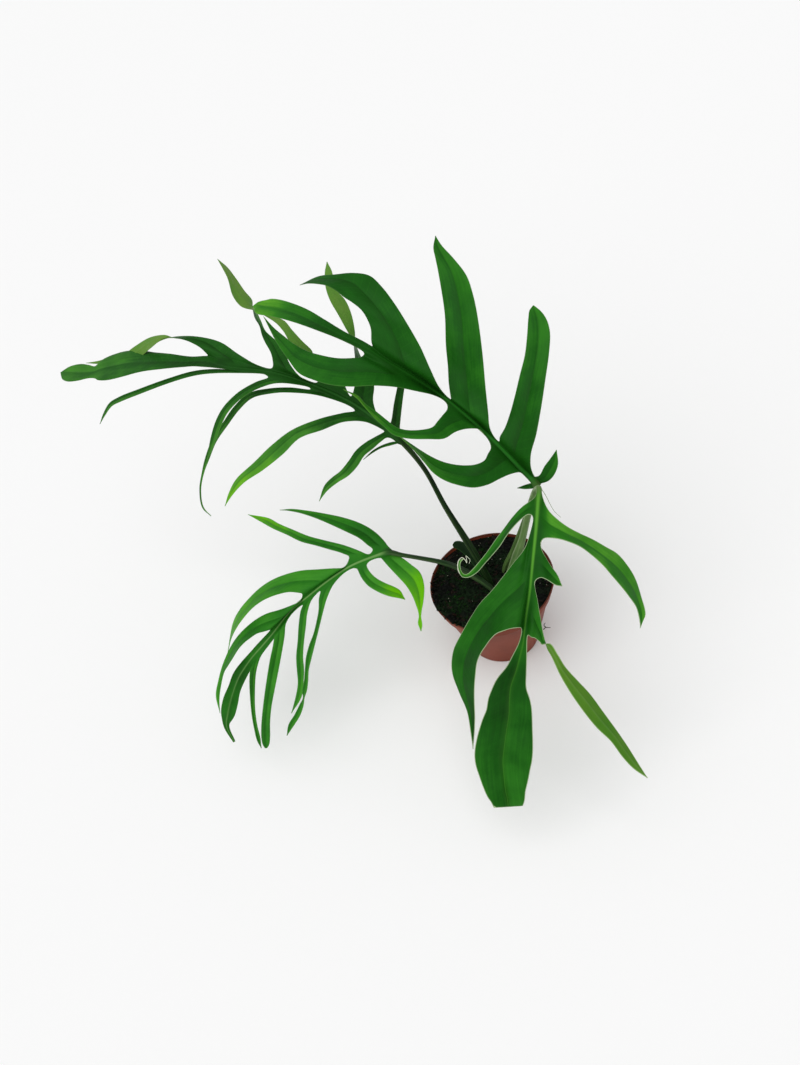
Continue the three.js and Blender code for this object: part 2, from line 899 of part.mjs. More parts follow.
// The part of a stem that is drawn, and the part that stands straight down in the soil under it
function stalk(stations, depth = ROOT_DEPTH) {
  const drawn = stations.map(([x, y, height, width]) => {
    const at = seen(x, y, height);
    return [...at.toArray(), (width * unitAt(at)) / 2];
  });
  const [x, y, z, radius] = drawn[0];
  return [[x, y, z - depth, radius], ...drawn];
}

// A blade through sections whose points across are lists of Vector3, its edges turned up towards the sight
function blade(sections, step = LOBE_STEP) {
  const columns = sections[0].length - 1;
  const rows = spread(
    sections.map((points) => [...points[columns / 2].toArray(), ...points.flatMap((p) => p.toArray())]),
    step,
    5,
  );
  const grid = rows.map(({ values }) =>
    Array.from({ length: columns + 1 }, (_, k) => new THREE.Vector3(...values.slice(3 + 3 * k, 6 + 3 * k))),
  );
  let widthways = new THREE.Vector3();
  grid.forEach((row) => {
    const span = row.at(-1).clone().sub(row[0]);
    if (span.length() > BLADE) {
      widthways = span;
      return;
    }
    const middle = row[columns / 2].clone();
    row.forEach((p, k) => p.copy(middle).addScaledVector(widthways, (BLADE * (k / columns - 0.5)) / widthways.length()));
  });
  const normals = grid.map((row, i) => {
    const along = grid[Math.min(i + 1, grid.length - 1)][columns / 2]
      .clone()
      .sub(grid[Math.max(i - 1, 0)][columns / 2]);
    return along.cross(row.at(-1).clone().sub(row[0])).normalize();
  });
  const facing = Math.sign(normals[1].dot(eye.clone().sub(grid[1][0]))) || 1;
  grid.forEach((row, i) => {
    const half = row.at(-1).distanceTo(row[0]) / 2;
    const settle = Math.min(1, rows[i].run / step);
    row.forEach((p, k) => {
      const c = (2 * k) / columns - 1;
      p.addScaledVector(normals[i], facing * settle * CUP * Math.min(half, BROAD) * (c * c - 0.5));
    });
  });
  return closedBlade(grid, (i, j) => (j === columns / 2 && i + 1 < grid.length ? BLADE + VEIN : BLADE));
}

// Points spread over a section, evenly from its first edge to its second
function acrossSection({ first, second }, columns) {
  return Array.from({ length: columns + 1 }, (_, k) => first.clone().lerp(second, k / columns));
}

// A side lobe: its first section is the stretch of midrib that it stands on
function lobe(rib, { foot: [x1, y1, x2, y2], rows, step }) {
  const sections = rows.map(sectionOf);
  const columns = Math.max(...sections.map((s) => s.first.distanceTo(s.second))) > BROAD ? 4 : 2;
  const from = rib.nearest(x1, y1);
  const to = rib.nearest(x2, y2);
  const footing = Array.from({ length: columns + 1 }, (_, k) => rib.at(from + ((to - from) * k) / columns));
  return blade([footing, ...sections.map((s) => acrossSection(s, columns))], step);
}

// The midrib through its drawn points and on through the middle of the end lobe
function midrib(points, end) {
  const knots = [...points.map(([x, y, height]) => seen(x, y, height)), ...end.map((row) => sectionOf(row).middle)];
  const curve = curveThrough(knots.map((p) => p.toArray()));
  const at = (number) => new THREE.Vector3(...curve(number));
  const samples = Array.from({ length: 40 * (knots.length - 1) + 1 }, (_, i) => i / 40);
  const shows = samples.map((number) => {
    const p = at(number).sub(eye);
    const depth = p.dot(ahead) / FOCAL;
    return [SKETCH.width / 2 + p.dot(across) / depth, SKETCH.height / 2 - p.dot(upward) / depth];
  });
  const nearest = (x, y) => {
    const distances = shows.map(([u, v]) => Math.hypot(u - x, v - y));
    return samples[distances.indexOf(Math.min(...distances))];
  };
  return { knots, at, nearest };
}

// The wing along the midrib, which widens into the end lobe
function wingAndEnd(points, end) {
  const rows = points.map(([x, y, height], i) => {
    const [x1, y1] = points[Math.max(i - 1, 0)];
    const [x2, y2] = points[i + 1] ?? [(end[0][0] + end[0][2]) / 2, (end[0][1] + end[0][3]) / 2];
    const length = Math.hypot(x2 - x1, y2 - y1);
    const [dx, dy] = [(-(y2 - y1) / length) * WING, ((x2 - x1) / length) * WING];
    return [x + dx, y + dy, x - dx, y - dy, height];
  });
  const facesAlike = (end[0][0] - end[0][2]) * (rows.at(-1)[0] - rows.at(-1)[2])
    + (end[0][1] - end[0][3]) * (rows.at(-1)[1] - rows.at(-1)[3]) > 0;
  const wing = facesAlike ? rows : rows.map(([x1, y1, x2, y2, height]) => [x2, y2, x1, y1, height]);
  return blade([...wing, ...end].map((row) => acrossSection(sectionOf(row), 4)));
}

// A whole leaf: petiole, midrib, wing and lobes grown together
function leaf({ petiole, rib, ribRadius, end, lobes }) {
  const middle = midrib(rib, end);
  const reach = rib.length + 2;
  const ribStations = middle.knots.slice(0, reach).map((p, i) => {
    const radius = THREE.MathUtils.lerp(ribRadius[0], ribRadius[1], Math.sqrt(i / (reach - 1)));
    return [...p.toArray(), radius];
  });
  const axis = solidOf(stem([...stalk(petiole), ...ribStations]));
  const blades = [wingAndEnd(rib, end), ...lobes.map((one) => lobe(middle, one))];
  return blades.map(solidOf).reduce((whole, one) => whole.add(one), axis);
}

// The pot: a lathe profile of its walls and floor, with drain holes round the solid middle of the floor
const rimRadius = RIM_DIAMETER / 2;
const footRadius = FOOT_DIAMETER / 2;
const bandFoot = POT_HEIGHT - RIM_BAND.height;
const slope = (rimRadius - RIM_BAND.stand - footRadius) / POT_HEIGHT;
const outerRadius = (z) => footRadius + slope * z;
const innerRadius = (z) => outerRadius(z) - POT_WALL;
const bandRadius = (z) => outerRadius(z) + RIM_BAND.stand;

function pot() {
  const lip = 0.4;
  const profile = [
    [0, 0],
    [footRadius - 2 * lip, 0],
    [footRadius, 2 * lip],
    [outerRadius(bandFoot), bandFoot],
    [bandRadius(bandFoot + lip), bandFoot + lip],
    [rimRadius, POT_HEIGHT - lip],
    [rimRadius - lip, POT_HEIGHT],
    [rimRadius - POT_WALL + lip, POT_HEIGHT],
    [rimRadius - POT_WALL, POT_HEIGHT - lip],
    [bandRadius(bandFoot + POT_WALL) - POT_WALL, bandFoot + POT_WALL],
    [innerRadius(bandFoot), bandFoot],
    [innerRadius(POT_FLOOR), POT_FLOOR],
    [0, POT_FLOOR],
  ].map(([radius, z]) => new THREE.Vector2(radius, z));
  const shell = solidOf(new THREE.LatheGeometry(profile, POT_SIDES).rotateX(Math.PI / 2));
  const holes = Array.from({ length: DRAIN.count }, (_, k) => {
    const angle = (2 * Math.PI * (k + 0.5)) / DRAIN.count;
    const hole = new THREE.CylinderGeometry(DRAIN.diameter / 2, DRAIN.diameter / 2, 4 * POT_FLOOR, DRAIN.sides);
    hole.rotateX(Math.PI / 2);
    hole.translate((Math.cos(angle) * DRAIN.circle) / 2, (Math.sin(angle) * DRAIN.circle) / 2, 0);
    return solidOf(hole);
  });
  return holes.reduce((rest, hole) => rest.subtract(hole), shell);
}

// The soil: it fills the pot, its top is lumpy, and each stem stands in a plain hole
function soil(stems) {
  const floor = POT_FLOOR + SOIL.gap;
  const step = bandFoot + POT_WALL + SOIL.gap;
  const height = (x, y) => SOIL.level
    + SOIL.lump * (0.6 * Math.sin(x / 7.3 + 1) * Math.cos(y / 6.1) + 0.4 * Math.sin(x / 3.9 - y / 4.7));
  const top = bandRadius(SOIL.level - SOIL.lump) - POT_WALL - SOIL.gap;
  const rings = Array.from({ length: SOIL.rings - 1 }, (_, k) => [(top * (k + 1)) / SOIL.rings, null]);
  rings.push(
    [top, SOIL.level - SOIL.lump],
    [bandRadius(step) - POT_WALL - SOIL.gap, step],
    [innerRadius(bandFoot) - SOIL.gap, bandFoot],
    [innerRadius(floor) - SOIL.gap, floor],
  );
  const position = [0, 0, height(0, 0)];
  for (const [radius, z] of rings)
    for (let k = 0; k < SOIL.sectors; k++) {
      const angle = (2 * Math.PI * k) / SOIL.sectors;
      const [x, y] = [radius * Math.cos(angle), radius * Math.sin(angle)];
      position.push(x, y, z ?? height(x, y));
    }
  position.push(0, 0, floor);
  const vertex = (ring, k) => 1 + ring * SOIL.sectors + (k % SOIL.sectors);
  const middle = 1 + rings.length * SOIL.sectors;
  const index = [];
  for (let k = 0; k < SOIL.sectors; k++) {
    index.push(0, vertex(0, k), vertex(0, k + 1));
    index.push(middle, vertex(rings.length - 1, k + 1), vertex(rings.length - 1, k));
    for (let ring = 0; ring + 1 < rings.length; ring++) {
      const [a, b] = [vertex(ring, k), vertex(ring, k + 1)];
      const [c, d] = [vertex(ring + 1, k + 1), vertex(ring + 1, k)];
      index.push(a, d, c, a, c, b);
    }
  }
  const body = solidOf(surface(position, index));
  const holes = stems.map((stations) => solidOf(stem(stalk(stations, ROOT_DEPTH + STEM_GAP), STEM_GAP)));
  return holes.reduce((rest, hole) => rest.subtract(hole), body);
}

const plant = new THREE.Group();

function add(name, solid, color, roughness) {
  const material = new THREE.MeshStandardMaterial({ color, roughness, metalness: 0 });
  const mesh = new THREE.Mesh(geometryOf(solid), material);
  mesh.name = name;
  plant.add(mesh);
}

const LEAVES = [LEAF_FAR, LEAF_UPPER, LEAF_FRONT, LEAF_LEFT];
add("pot", pot(), COLOURS.pot, 0.6);
add("soil", soil([...LEAVES.map((one) => one.petiole), OLD_PETIOLE]), COLOURS.soil, 0.95);
add("leaf_far", leaf(LEAF_FAR), COLOURS.farLeaf, 0.4);
add("leaf_upper", leaf(LEAF_UPPER), COLOURS.upperLeaf, 0.35);
add("leaf_front", leaf(LEAF_FRONT), COLOURS.frontLeaf, 0.35);
add("leaf_left", leaf(LEAF_LEFT), COLOURS.leftLeaf, 0.35);
add("old_petiole", solidOf(stem(stalk(OLD_PETIOLE))), COLOURS.oldPetiole, 0.5);

export default plant;
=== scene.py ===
"""A young Monstera croatii in a nursery pot: leaves, petioles, pot and soil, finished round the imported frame.

Lengths are millimetres while a shape is worked out and metres once it is a mesh. +Z is up, +X runs to the
right of the sketch that the plant is drawn on, and -Y runs towards the viewer.
"""

import logging
import math
from dataclasses import dataclass
from enum import IntEnum
from typing import ClassVar

import bpy
import numpy as np
from mathutils import Matrix, Vector, kdtree, noise


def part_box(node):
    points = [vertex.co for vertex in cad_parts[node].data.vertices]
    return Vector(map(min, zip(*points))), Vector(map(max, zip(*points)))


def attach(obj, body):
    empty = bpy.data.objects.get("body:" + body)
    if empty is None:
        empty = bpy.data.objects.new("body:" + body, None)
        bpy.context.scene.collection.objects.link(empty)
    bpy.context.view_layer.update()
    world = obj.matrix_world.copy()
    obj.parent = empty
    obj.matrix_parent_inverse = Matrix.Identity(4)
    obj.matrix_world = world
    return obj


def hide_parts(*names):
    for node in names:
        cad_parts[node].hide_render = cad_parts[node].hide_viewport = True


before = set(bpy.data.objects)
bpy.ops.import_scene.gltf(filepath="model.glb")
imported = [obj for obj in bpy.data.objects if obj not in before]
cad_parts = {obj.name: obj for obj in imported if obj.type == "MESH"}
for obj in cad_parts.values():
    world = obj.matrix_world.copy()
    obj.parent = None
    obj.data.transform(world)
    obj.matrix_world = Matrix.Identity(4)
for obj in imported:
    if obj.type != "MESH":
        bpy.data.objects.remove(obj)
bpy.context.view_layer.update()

MM = 0.001
ROOT = "root"
log = logging.getLogger("monstera")

Row = tuple[float, ...]
Pair = tuple[float, float]
Array = np.ndarray
Piece = bpy.types.Object
Socket = bpy.types.NodeSocket
Tree = bpy.types.NodeTree


@dataclass(frozen=True)
class Sight:
    """The view that the plant is sketched from: above its front, with a slight roll.

    A point on the sketch is [x, y, height]: where it shows, in units of the sketch, and how high it is above
    the table in millimetres.

    Attributes:
        elevation: How far above level the eye is, in degrees.
        roll: How far the view is turned on its side, in degrees.
        distance: How far the eye is from the middle of the rim, in millimetres.
    """

    rim_diameter: float
    rim_height: float
    elevation: float = 47.0
    roll: float = 18.5
    distance: float = 950.0
    width: int = 800
    height: int = 1065
    rim_centre: Pair = (491.4, 580.2)
    rim_width: float = 125.0

    @property
    def unit(self) -> float:
        """Millimetres for one unit of the sketch at the pot's rim."""
        return self.rim_diameter / self.rim_width

    @property
    def focal(self) -> float:
        """The eye's distance from the sketch, in its units."""
        return self.distance / self.unit

    @property
    def axes(self) -> tuple[Array, Array, Array]:
        """The directions on the sketch.

        Returns:
            Right, up and ahead.
        """
        tilt, turn = math.radians(self.elevation), math.radians(self.roll)
        ahead = np.array([0.0, math.cos(tilt), -math.sin(tilt)])
        level = np.array([1.0, 0.0, 0.0])
        rise = np.array([0.0, math.sin(tilt), math.cos(tilt)])
        right = math.cos(turn) * level - math.sin(turn) * rise
        up = math.sin(turn) * level + math.cos(turn) * rise
        return right, up, ahead

    @property
    def eye(self) -> Array:
        """Where the eye is.

        Returns:
            The point, in millimetres.
        """
        right, up, ahead = self.axes
        aside = (self.rim_centre[0] - self.width / 2) * self.unit
        above = (self.height / 2 - self.rim_centre[1]) * self.unit
        return np.array([0.0, 0.0, self.rim_height]) - self.distance * ahead - aside * right - above * up

    def seen(self, x: Array, y: Array, height: Array) -> Array:
        """Finds the points at given heights that show at given places.

        Args:
            x: Places across the sketch.
            y: Places down the sketch.
            height: Heights above the table.

        Returns:
            One point for each place, as an array of three columns.
        """
        right, up, ahead = self.axes
        x, y, height = (np.atleast_1d(np.asarray(v, float)) for v in (x, y, height))
        across = ((x - self.width / 2) / self.focal)[:, None] * right
        upward = ((self.height / 2 - y) / self.focal)[:, None] * up
        ray = ahead + across + upward
        return self.eye + ray * ((height - self.eye[2]) / ray[:, 2])[:, None]

    def shows(self, points: Array) -> Array:
        """Finds where points show on the sketch.

        Args:
            points: Points in millimetres.

        Returns:
            The x and y of each point.
        """
        right, up, ahead = self.axes
        ray = points - self.eye
        depth = ray @ ahead / self.focal
        return np.stack([self.width / 2 + ray @ right / depth, self.height / 2 - ray @ up / depth], axis=1)

    def unit_at(self, points: Array) -> Array:
        """Millimetres for one unit of the sketch at each point."""
        return (points - self.eye) @ self.axes[2] / self.focal


@dataclass(frozen=True)
class Lobe:
    """A side lobe of a leaf, as rows that cross it from its base to its tip.

    Attributes:
        foot: The stretch of midrib that it stands on, from the petiole's side to the end's side: x, y, x, y.
        rows: x and y of the edge on the petiole's side, x and y of the other edge, the height of the middle
            and, where it isn't worked out, how much higher the second edge is.
        light: How light its green is at its base and at its tip, from 0 to 1; set lobe by lobe, it carries
            painted light on the lobes that catch it as well as the green's own lightening.
    """

    foot: Row
    rows: tuple[Row, ...]
    light: Pair = (0.15, 0.35)


@dataclass(frozen=True)
class LeafPlan:
    """A leaf as it is drawn on the sketch.

    Attributes:
        petiole: x, y, height and width seen, from the soil up.
        rib: x, y and height of the midrib as far as the end lobe.
        rib_radius: The midrib's radius at the petiole and at the end lobe.
        end: The rows of the end lobe.
        lobes: The side lobes.
        light: How light the end lobe is at its base and at its tip, which carries painted light as well as the
            green's own lightening.
        wing_light: How light the wing along the midrib is.
        end_shaded_half: Which half of the end lobe gets the painted shade next to its midvein: 1 for the left
            one as it points away from the petiole, -1 for the right one.
    """

    petiole: tuple[Row, ...]
    rib: tuple[Row, ...]
    rib_radius: Pair
    end: tuple[Row, ...]
    lobes: tuple[Lobe, ...]
    light: Pair = (0.15, 0.4)
    wing_light: float = 0.15
    end_shaded_half: int = 1


FAR_LEAF = LeafPlan(
    petiole=(
        (491, 585, 86, 6), (484, 571, 104, 6.5), (476, 556, 124, 7), (466.5, 540.5, 143, 7),
        (445.5, 507, 174, 5.5), (424.5, 469, 212, 5),
    ),
    rib=(
        (401, 441, 244), (380, 423, 257), (350, 402, 270), (310, 384, 283), (270, 372, 290),
        (225, 366.5, 294),
    ),
    rib_radius=(2.4, 0.7),
    end=(
        (205, 357, 207, 366, 294), (190, 356.5, 180, 367, 293), (170, 354, 162, 369, 292),
        (150, 353, 145, 371, 290), (130, 352, 128, 375, 287), (115, 354, 110, 379, 284),
        (103, 359, 99, 379, 282), (94, 366.5, 92, 377.5, 280), (84, 366, 83, 379.5, 279),
        (74, 365.5, 74, 380, 278), (66, 367.5, 66, 377, 277), (60.5, 372.5, 60.5, 372.5, 276),
    ),
    light=(0.1, 0.5),
    lobes=(
        Lobe(foot=(398, 438, 384, 427), light=(0.0, 0.1), rows=(
            (400, 424, 391, 422, 262), (402, 405, 394, 404, 275), (404, 390, 397, 389, 287),
            (407, 372, 401, 372, 298), (405, 360, 405, 360, 305),
        )),
        Lobe(foot=(376, 419, 349, 401), light=(0.05, 0.5), rows=(
            (373, 401, 353, 393, 271), (374, 386, 355, 384, 281), (369, 370, 356, 369, 292),
            (361, 357, 355, 357, 303, -6), (356, 346, 354, 345, 313, -10), (349, 334, 355, 335, 322, -5),
            (338.5, 315, 351.5, 315, 338), (330, 300, 345, 300, 350), (325.5, 286, 334, 287, 359),
            (325, 272, 332, 272, 368), (327, 262, 327, 262, 374),
        )),
        Lobe(foot=(349, 401, 316, 387), light=(0.1, 0.4), rows=(
            (345, 386, 318, 377, 284), (337, 371, 319, 365, 294), (327, 362, 315, 359, 300, -4),
            (317, 356, 313, 357, 304, -9), (301, 353, 312, 351, 306, -4), (290, 342, 302, 341, 309),
            (284, 332, 292, 330, 311), (276, 323, 283, 320, 312), (262, 314, 262, 314, 311),
        )),
        Lobe(foot=(313, 386, 272, 372), light=(0.05, 0.6), rows=(
            (302, 378, 273, 362, 294), (291, 366, 271, 353, 298), (283, 350, 265, 342, 303),
            (274, 339, 262, 335, 307), (265.5, 331, 259.5, 326, 311), (260, 319, 254.5, 317, 315, -5),
            (254.5, 310.5, 252.5, 306.5, 320, -9), (246, 308.5, 252, 300, 325, -5),
            (240, 305.5, 245, 291.5, 330), (232.5, 295, 236, 278.5, 337), (227.5, 278, 227.5, 267.5, 344),
            (217.5, 259, 217.5, 259, 352),
        )),
        Lobe(foot=(269, 372, 205, 362), light=(0.15, 0.3), rows=(
            (255, 364, 206, 353, 296), (238, 354, 202, 349, 300), (222, 343, 197, 345.5, 303),
            (206, 338, 189, 341.5, 306), (189, 336, 181, 339, 308, 3), (173, 337, 174, 338, 308, 8),
            (160, 341, 164, 335, 306, 4), (152, 347, 150, 337.5, 301), (144, 354, 134, 347, 291),
            (136, 361, 122, 356, 280), (118, 364, 108, 358, 270), (100, 364, 98, 361, 265),
            (86, 363, 86, 363, 262),
        )),
        Lobe(foot=(404, 444, 399, 440), light=(0.3, 0.4), rows=(
            (391, 445.3, 389, 442.8, 243), (381.5, 448, 380, 446.2, 240), (372.5, 453, 371.5, 451.5, 236),
            (363.5, 459.5, 363.5, 459.5, 231),
        )),
        Lobe(foot=(398, 440, 386, 429), light=(0.25, 0.55), rows=(
            (388.5, 437.5, 384, 432, 250), (381, 441.5, 375, 437, 250), (373, 448.5, 365.5, 442.5, 247),
            (364, 456, 356, 450.5, 241), (357.5, 466, 349, 460.5, 234), (348.5, 475.5, 340.5, 471, 225),
            (337.5, 482.5, 331, 478.5, 216), (327, 491, 324, 486.5, 208), (319.3, 501, 319.3, 501, 203),
        )),
        Lobe(foot=(386, 429, 352, 404), light=(0.2, 1.0), rows=(
            (368, 422.5, 355, 410.5, 262), (346, 421.5, 343, 413, 264), (322, 430, 319, 419, 262),
            (299, 438.5, 292, 430, 256), (283, 454, 272, 445, 247), (263, 470, 254, 462.5, 236),
            (243.5, 483, 236, 479.5, 225), (232, 495.5, 228.5, 494, 215), (225, 506, 225, 506, 208),
        )),
        Lobe(foot=(352, 404, 310, 386), light=(0.15, 0.55), rows=(
            (321, 396, 310, 389.5, 279), (290, 392.5, 290, 387.5, 280), (271, 393.5, 269, 388.5, 277),
            (251.5, 398.5, 248.5, 393.5, 270), (239, 410, 234.5, 406, 262), (227.5, 425.5, 223, 422.5, 252),
            (216.5, 441.5, 212.5, 438.5, 241), (209.3, 459, 205.5, 457, 228), (204, 473, 202, 472, 217),
            (201, 490, 199.5, 490, 204), (203.5, 507, 202.5, 508, 190), (211, 516, 211, 516, 184),
        )),
        Lobe(foot=(310, 386, 266, 373), light=(0.2, 0.45), rows=(
            (282, 383, 268, 377.5, 288), (262, 387, 256, 382, 285), (242, 398, 238, 392.5, 280),
            (228.5, 411.5, 223.5, 407, 273), (222, 423.5, 216, 420.5, 266), (215.5, 441, 210.5, 439, 256),
            (207, 460, 207, 460, 243),
        )),
        Lobe(foot=(265, 372, 226, 367), light=(0.15, 0.4), rows=(
            (241, 373, 231, 370, 292), (215, 373.2, 215, 369, 292), (195, 375.5, 194, 371, 290),
            (170.5, 382.5, 169.5, 378, 284), (141, 393.5, 139, 389, 276), (121, 401.5, 119, 397, 269),
            (111.5, 406.5, 109, 403.5, 264), (105, 415.5, 103, 414.5, 258), (100, 424, 100, 424, 252),
        )),
    ),
)

UPPER_LEAF = LeafPlan(
    petiole=(
        (505, 570, 86, 6), (514, 549, 116, 6), (524, 523, 158, 6), (532, 500, 198, 6),
    ),
    rib=(
        (537, 486, 224), (520, 468, 236), (500, 447, 250), (480, 428, 265), (450, 402, 288),
        (415, 378, 313), (385, 360, 332),
    ),
    rib_radius=(2.6, 0.7),
    end=(
        (371, 346, 367, 353, 342), (360, 339.5, 354, 346, 345), (345, 332, 338, 338.5, 348),
        (325, 320, 316, 330, 352), (305, 309, 297, 323, 355), (290, 303, 282, 318.5, 357),
        (275, 299.5, 270, 315.5, 358), (264, 299.5, 262, 313.5, 358), (257, 302, 257, 309, 358),
        (252.5, 306.5, 252.5, 306.5, 357),
    ),
    light=(0.1, 0.85),
    lobes=(
        Lobe(foot=(539, 488, 531, 479), light=(0.15, 0.5), rows=(
            (548, 481, 539.5, 475.5, 232), (554.5, 474, 544.5, 466.5, 240), (558, 463.5, 550.5, 458.5, 248),
            (556.5, 450, 556.5, 450, 256),
        )),
        Lobe(foot=(531, 479, 498, 445), light=(0.1, 0.5), rows=(
            (530.5, 465, 500, 437, 250), (531, 453, 505, 428, 257), (536, 435, 510, 414, 266),
            (541, 408, 515, 396, 280), (545.5, 378, 520, 375, 294), (549, 352, 525, 355, 307),
            (549.8, 332, 527.3, 335, 317), (545.7, 318, 528.5, 318, 324), (539, 309.5, 530, 309.5, 327),
            (533.5, 305.5, 533.5, 305.5, 329),
        )),
        Lobe(foot=(492, 439, 450, 402), light=(0.2, 0.5), rows=(
            (489.5, 427, 451, 398, 280), (488, 412, 449, 384, 288), (485.5, 388, 448, 366, 300),
            (482.5, 355, 446, 345, 318), (478, 320, 445, 315, 337), (473, 295, 441.5, 290, 350),
            (466, 275, 438, 270, 361), (453, 258, 435.5, 258, 367), (442, 246, 433.5, 247, 371),
            (435.5, 236, 435.5, 236, 374),
        )),
        Lobe(foot=(444, 398, 371, 350), light=(0.15, 0.2), rows=(
            (437.5, 384.5, 371.5, 341, 330), (429, 366.5, 371, 329, 340), (420, 346.5, 367.5, 319.5, 350),
            (407.5, 324.5, 361.5, 310, 361), (394, 303, 352.5, 302.5, 370), (381, 286, 344, 297, 377),
            (369, 275.5, 336.5, 291, 381), (353, 273, 327.5, 286, 384), (335, 274.5, 318, 284, 384),
            (318, 276.5, 308, 283.5, 382), (300, 285, 300, 285, 379),
        )),
        Lobe(foot=(440, 395, 369, 350), light=(0.15, 0.6), rows=(
            (432, 394.5, 364, 355, 322), (416, 391, 360, 357.5, 328), (396, 387, 354, 358, 333),
            (374, 385.5, 345, 358.5, 337), (352, 386.5, 335, 358, 339), (332, 385, 322, 355.5, 339),
            (314, 380, 308, 351.5, 338), (299, 373, 294, 344, 337), (288, 359, 283, 335.5, 336),
            (277, 343, 274, 328, 336), (263.5, 316.5, 263.5, 316.5, 337),
        )),
        Lobe(foot=(486, 433, 449, 402), light=(0.2, 0.95), rows=(
            (482, 430, 448, 408.5, 277), (469, 428.5, 443, 415, 281), (456, 431.5, 438, 421, 284),
            (444, 438.5, 432, 427.5, 286), (428, 439, 420, 430, 288), (408, 438.5, 406, 430, 289),
            (394, 435, 396, 427, 290), (384, 426.5, 386, 419.5, 291), (374, 417.5, 375.5, 411, 292),
            (365, 407.5, 366, 404.5, 294), (356, 397.5, 357.5, 395.5, 297),
            (343.5, 389.5, 343.5, 389.5, 301),
        )),
        Lobe(foot=(528, 476, 492, 439), light=(0.05, 0.8), rows=(
            (522, 472.5, 491.5, 447, 246), (512, 473.5, 488, 454, 248), (500, 478.5, 484.5, 460.5, 249),
            (488, 484.5, 476, 464.5, 250), (474, 487.5, 466, 465.5, 251), (458, 485, 454, 464.5, 253),
            (444, 480, 442, 461.5, 256), (433, 472.5, 431, 456.5, 260), (424, 462, 421, 450.5, 265),
            (414, 450.5, 412, 444.5, 272), (398, 435, 398, 435, 282),
        )),
        Lobe(foot=(539, 488, 533, 481), light=(0.1, 0.2), rows=(
            (530, 488.7, 530, 483.5, 223), (524, 489, 524, 485.3, 222), (517.5, 488, 517.5, 488, 221),
        )),
    ),
)

FRONT_LEAF = LeafPlan(
    petiole=(
        (508, 581, 86, 7), (513, 567, 108, 8.5), (517, 555, 126, 9), (522, 540, 146, 7),
        (527, 519, 182, 6.5), (532, 500, 220, 6.5), (536.5, 489.5, 247, 6.5),
    ),
    rib=(
        (539, 489, 257), (538, 503, 255), (536, 530, 244), (533, 560, 229), (530, 590, 212),
        (526, 618, 194),
    ),
    rib_radius=(2.1, 0.8),
    end=(
        (522, 631, 527, 633, 186), (519, 643.5, 527, 645, 178), (513.5, 655, 527, 656, 170),
        (505.5, 671, 526.7, 671, 159), (494.5, 686.5, 527.3, 687, 148), (488.5, 700, 530.8, 701, 139),
        (486, 714, 532.3, 715, 130), (480.5, 729.5, 533, 731, 119), (476.3, 745, 533, 747, 109),
        (474.8, 760, 531.5, 761, 99), (479.3, 776, 529, 776, 88), (485, 791, 526.3, 789, 79),
        (490.5, 801, 524.8, 799, 72), (494, 809, 522.5, 804.5, 66),
    ),
    light=(0.15, 0.5),
    wing_light=0.35,
    end_shaded_half=-1,
    lobes=(
        Lobe(foot=(539, 497, 537, 516), light=(0.4, 0.75), rows=(
            (531, 500.5, 528, 514.5, 250, -6), (522, 507, 521.5, 519, 246, -4),
            (513, 516.5, 514, 526.5, 239, -2), (504, 528.5, 506.5, 536, 230), (495, 540.5, 500, 546, 221),
            (487, 552, 492, 555.5, 211), (479, 562, 484.5, 564, 202), (472, 570, 477, 572.5, 196),
            (467, 574.2, 468.2, 577.5, 193), (463.4, 573.8, 461.9, 576.8, 193),
            (461, 570.3, 459.2, 571.9, 196), (460.1, 566, 458, 566.6, 200), (460.8, 562, 459.1, 560.6, 204),
            (464, 558.5, 464, 558.5, 206),
        )),
        Lobe(foot=(537, 518, 525, 628), light=(0.3, 0.3), rows=(
            (530, 534, 520, 627.5, 218, -42), (524, 549.5, 511, 628.5, 216, -36),
            (513.5, 563, 503, 631, 212, -30), (502.8, 577, 496, 634, 206, -25),
            (491.5, 591, 490, 640, 199, -20), (480.3, 603, 485, 647, 191, -16),
            (471.3, 616.5, 480.5, 654, 183, -12), (461.8, 633, 477, 663, 173, -8),
            (453.3, 651, 475.5, 675, 160, -4), (452, 671, 474.5, 688, 147), (459, 692, 474.5, 702, 133),
            (467, 711, 475, 717, 120), (470.5, 731, 474.5, 731, 108), (473, 749, 473, 749, 97),
        )),
        Lobe(foot=(539, 495, 536, 540), light=(0.8, 0.6), rows=(
            (544, 502, 544, 538, 247, -14), (549, 511, 551, 538, 244, -10), (557, 519, 559, 539, 240, -6),
            (567, 526.5, 569, 542, 235, -3), (579, 533, 580.5, 547, 228, -1), (593, 539.5, 592, 555.5, 221),
            (606, 547, 603, 565.5, 213), (617, 553.5, 612, 576, 205), (626, 563.5, 621.5, 587, 197),
            (635, 578, 630, 598, 188), (641, 596, 636, 607, 178), (645.5, 614, 639, 617.5, 169),
            (643, 621, 640, 624, 165), (640.3, 628, 640.3, 628, 162),
        )),
        Lobe(foot=(536, 540, 532, 580), light=(0.3, 0.6), rows=(
            (541, 549, 539, 577, 228, -14), (545.5, 557, 545.5, 579, 225, -10),
            (551, 566, 550.5, 582, 220, -7), (557.5, 575, 556, 585.3, 215, -4), (562, 586, 562, 586, 210),
        )),
        Lobe(foot=(532, 582, 525, 632), light=(0.55, 0.45), rows=(
            (537, 598, 531, 637, 196, -21), (539.5, 613, 535, 638, 191, -14), (542, 627, 540, 642, 186, -6),
            (544.2, 637.5, 542.2, 644.8, 183, -3), (546.6, 647.2, 549.8, 643.4, 180, 5),
            (552, 657.5, 557.5, 654, 174, 4), (559, 673, 565, 666.5, 165), (569, 690.5, 577, 680, 154),
            (582, 709.5, 590, 694, 144), (596.5, 727.5, 602.5, 711, 132), (611, 741.5, 616, 729.5, 121),
            (622.5, 757, 627, 745.5, 110), (634, 769, 638, 763, 99), (647.5, 778, 647.5, 778, 89),
        )),
    ),
)

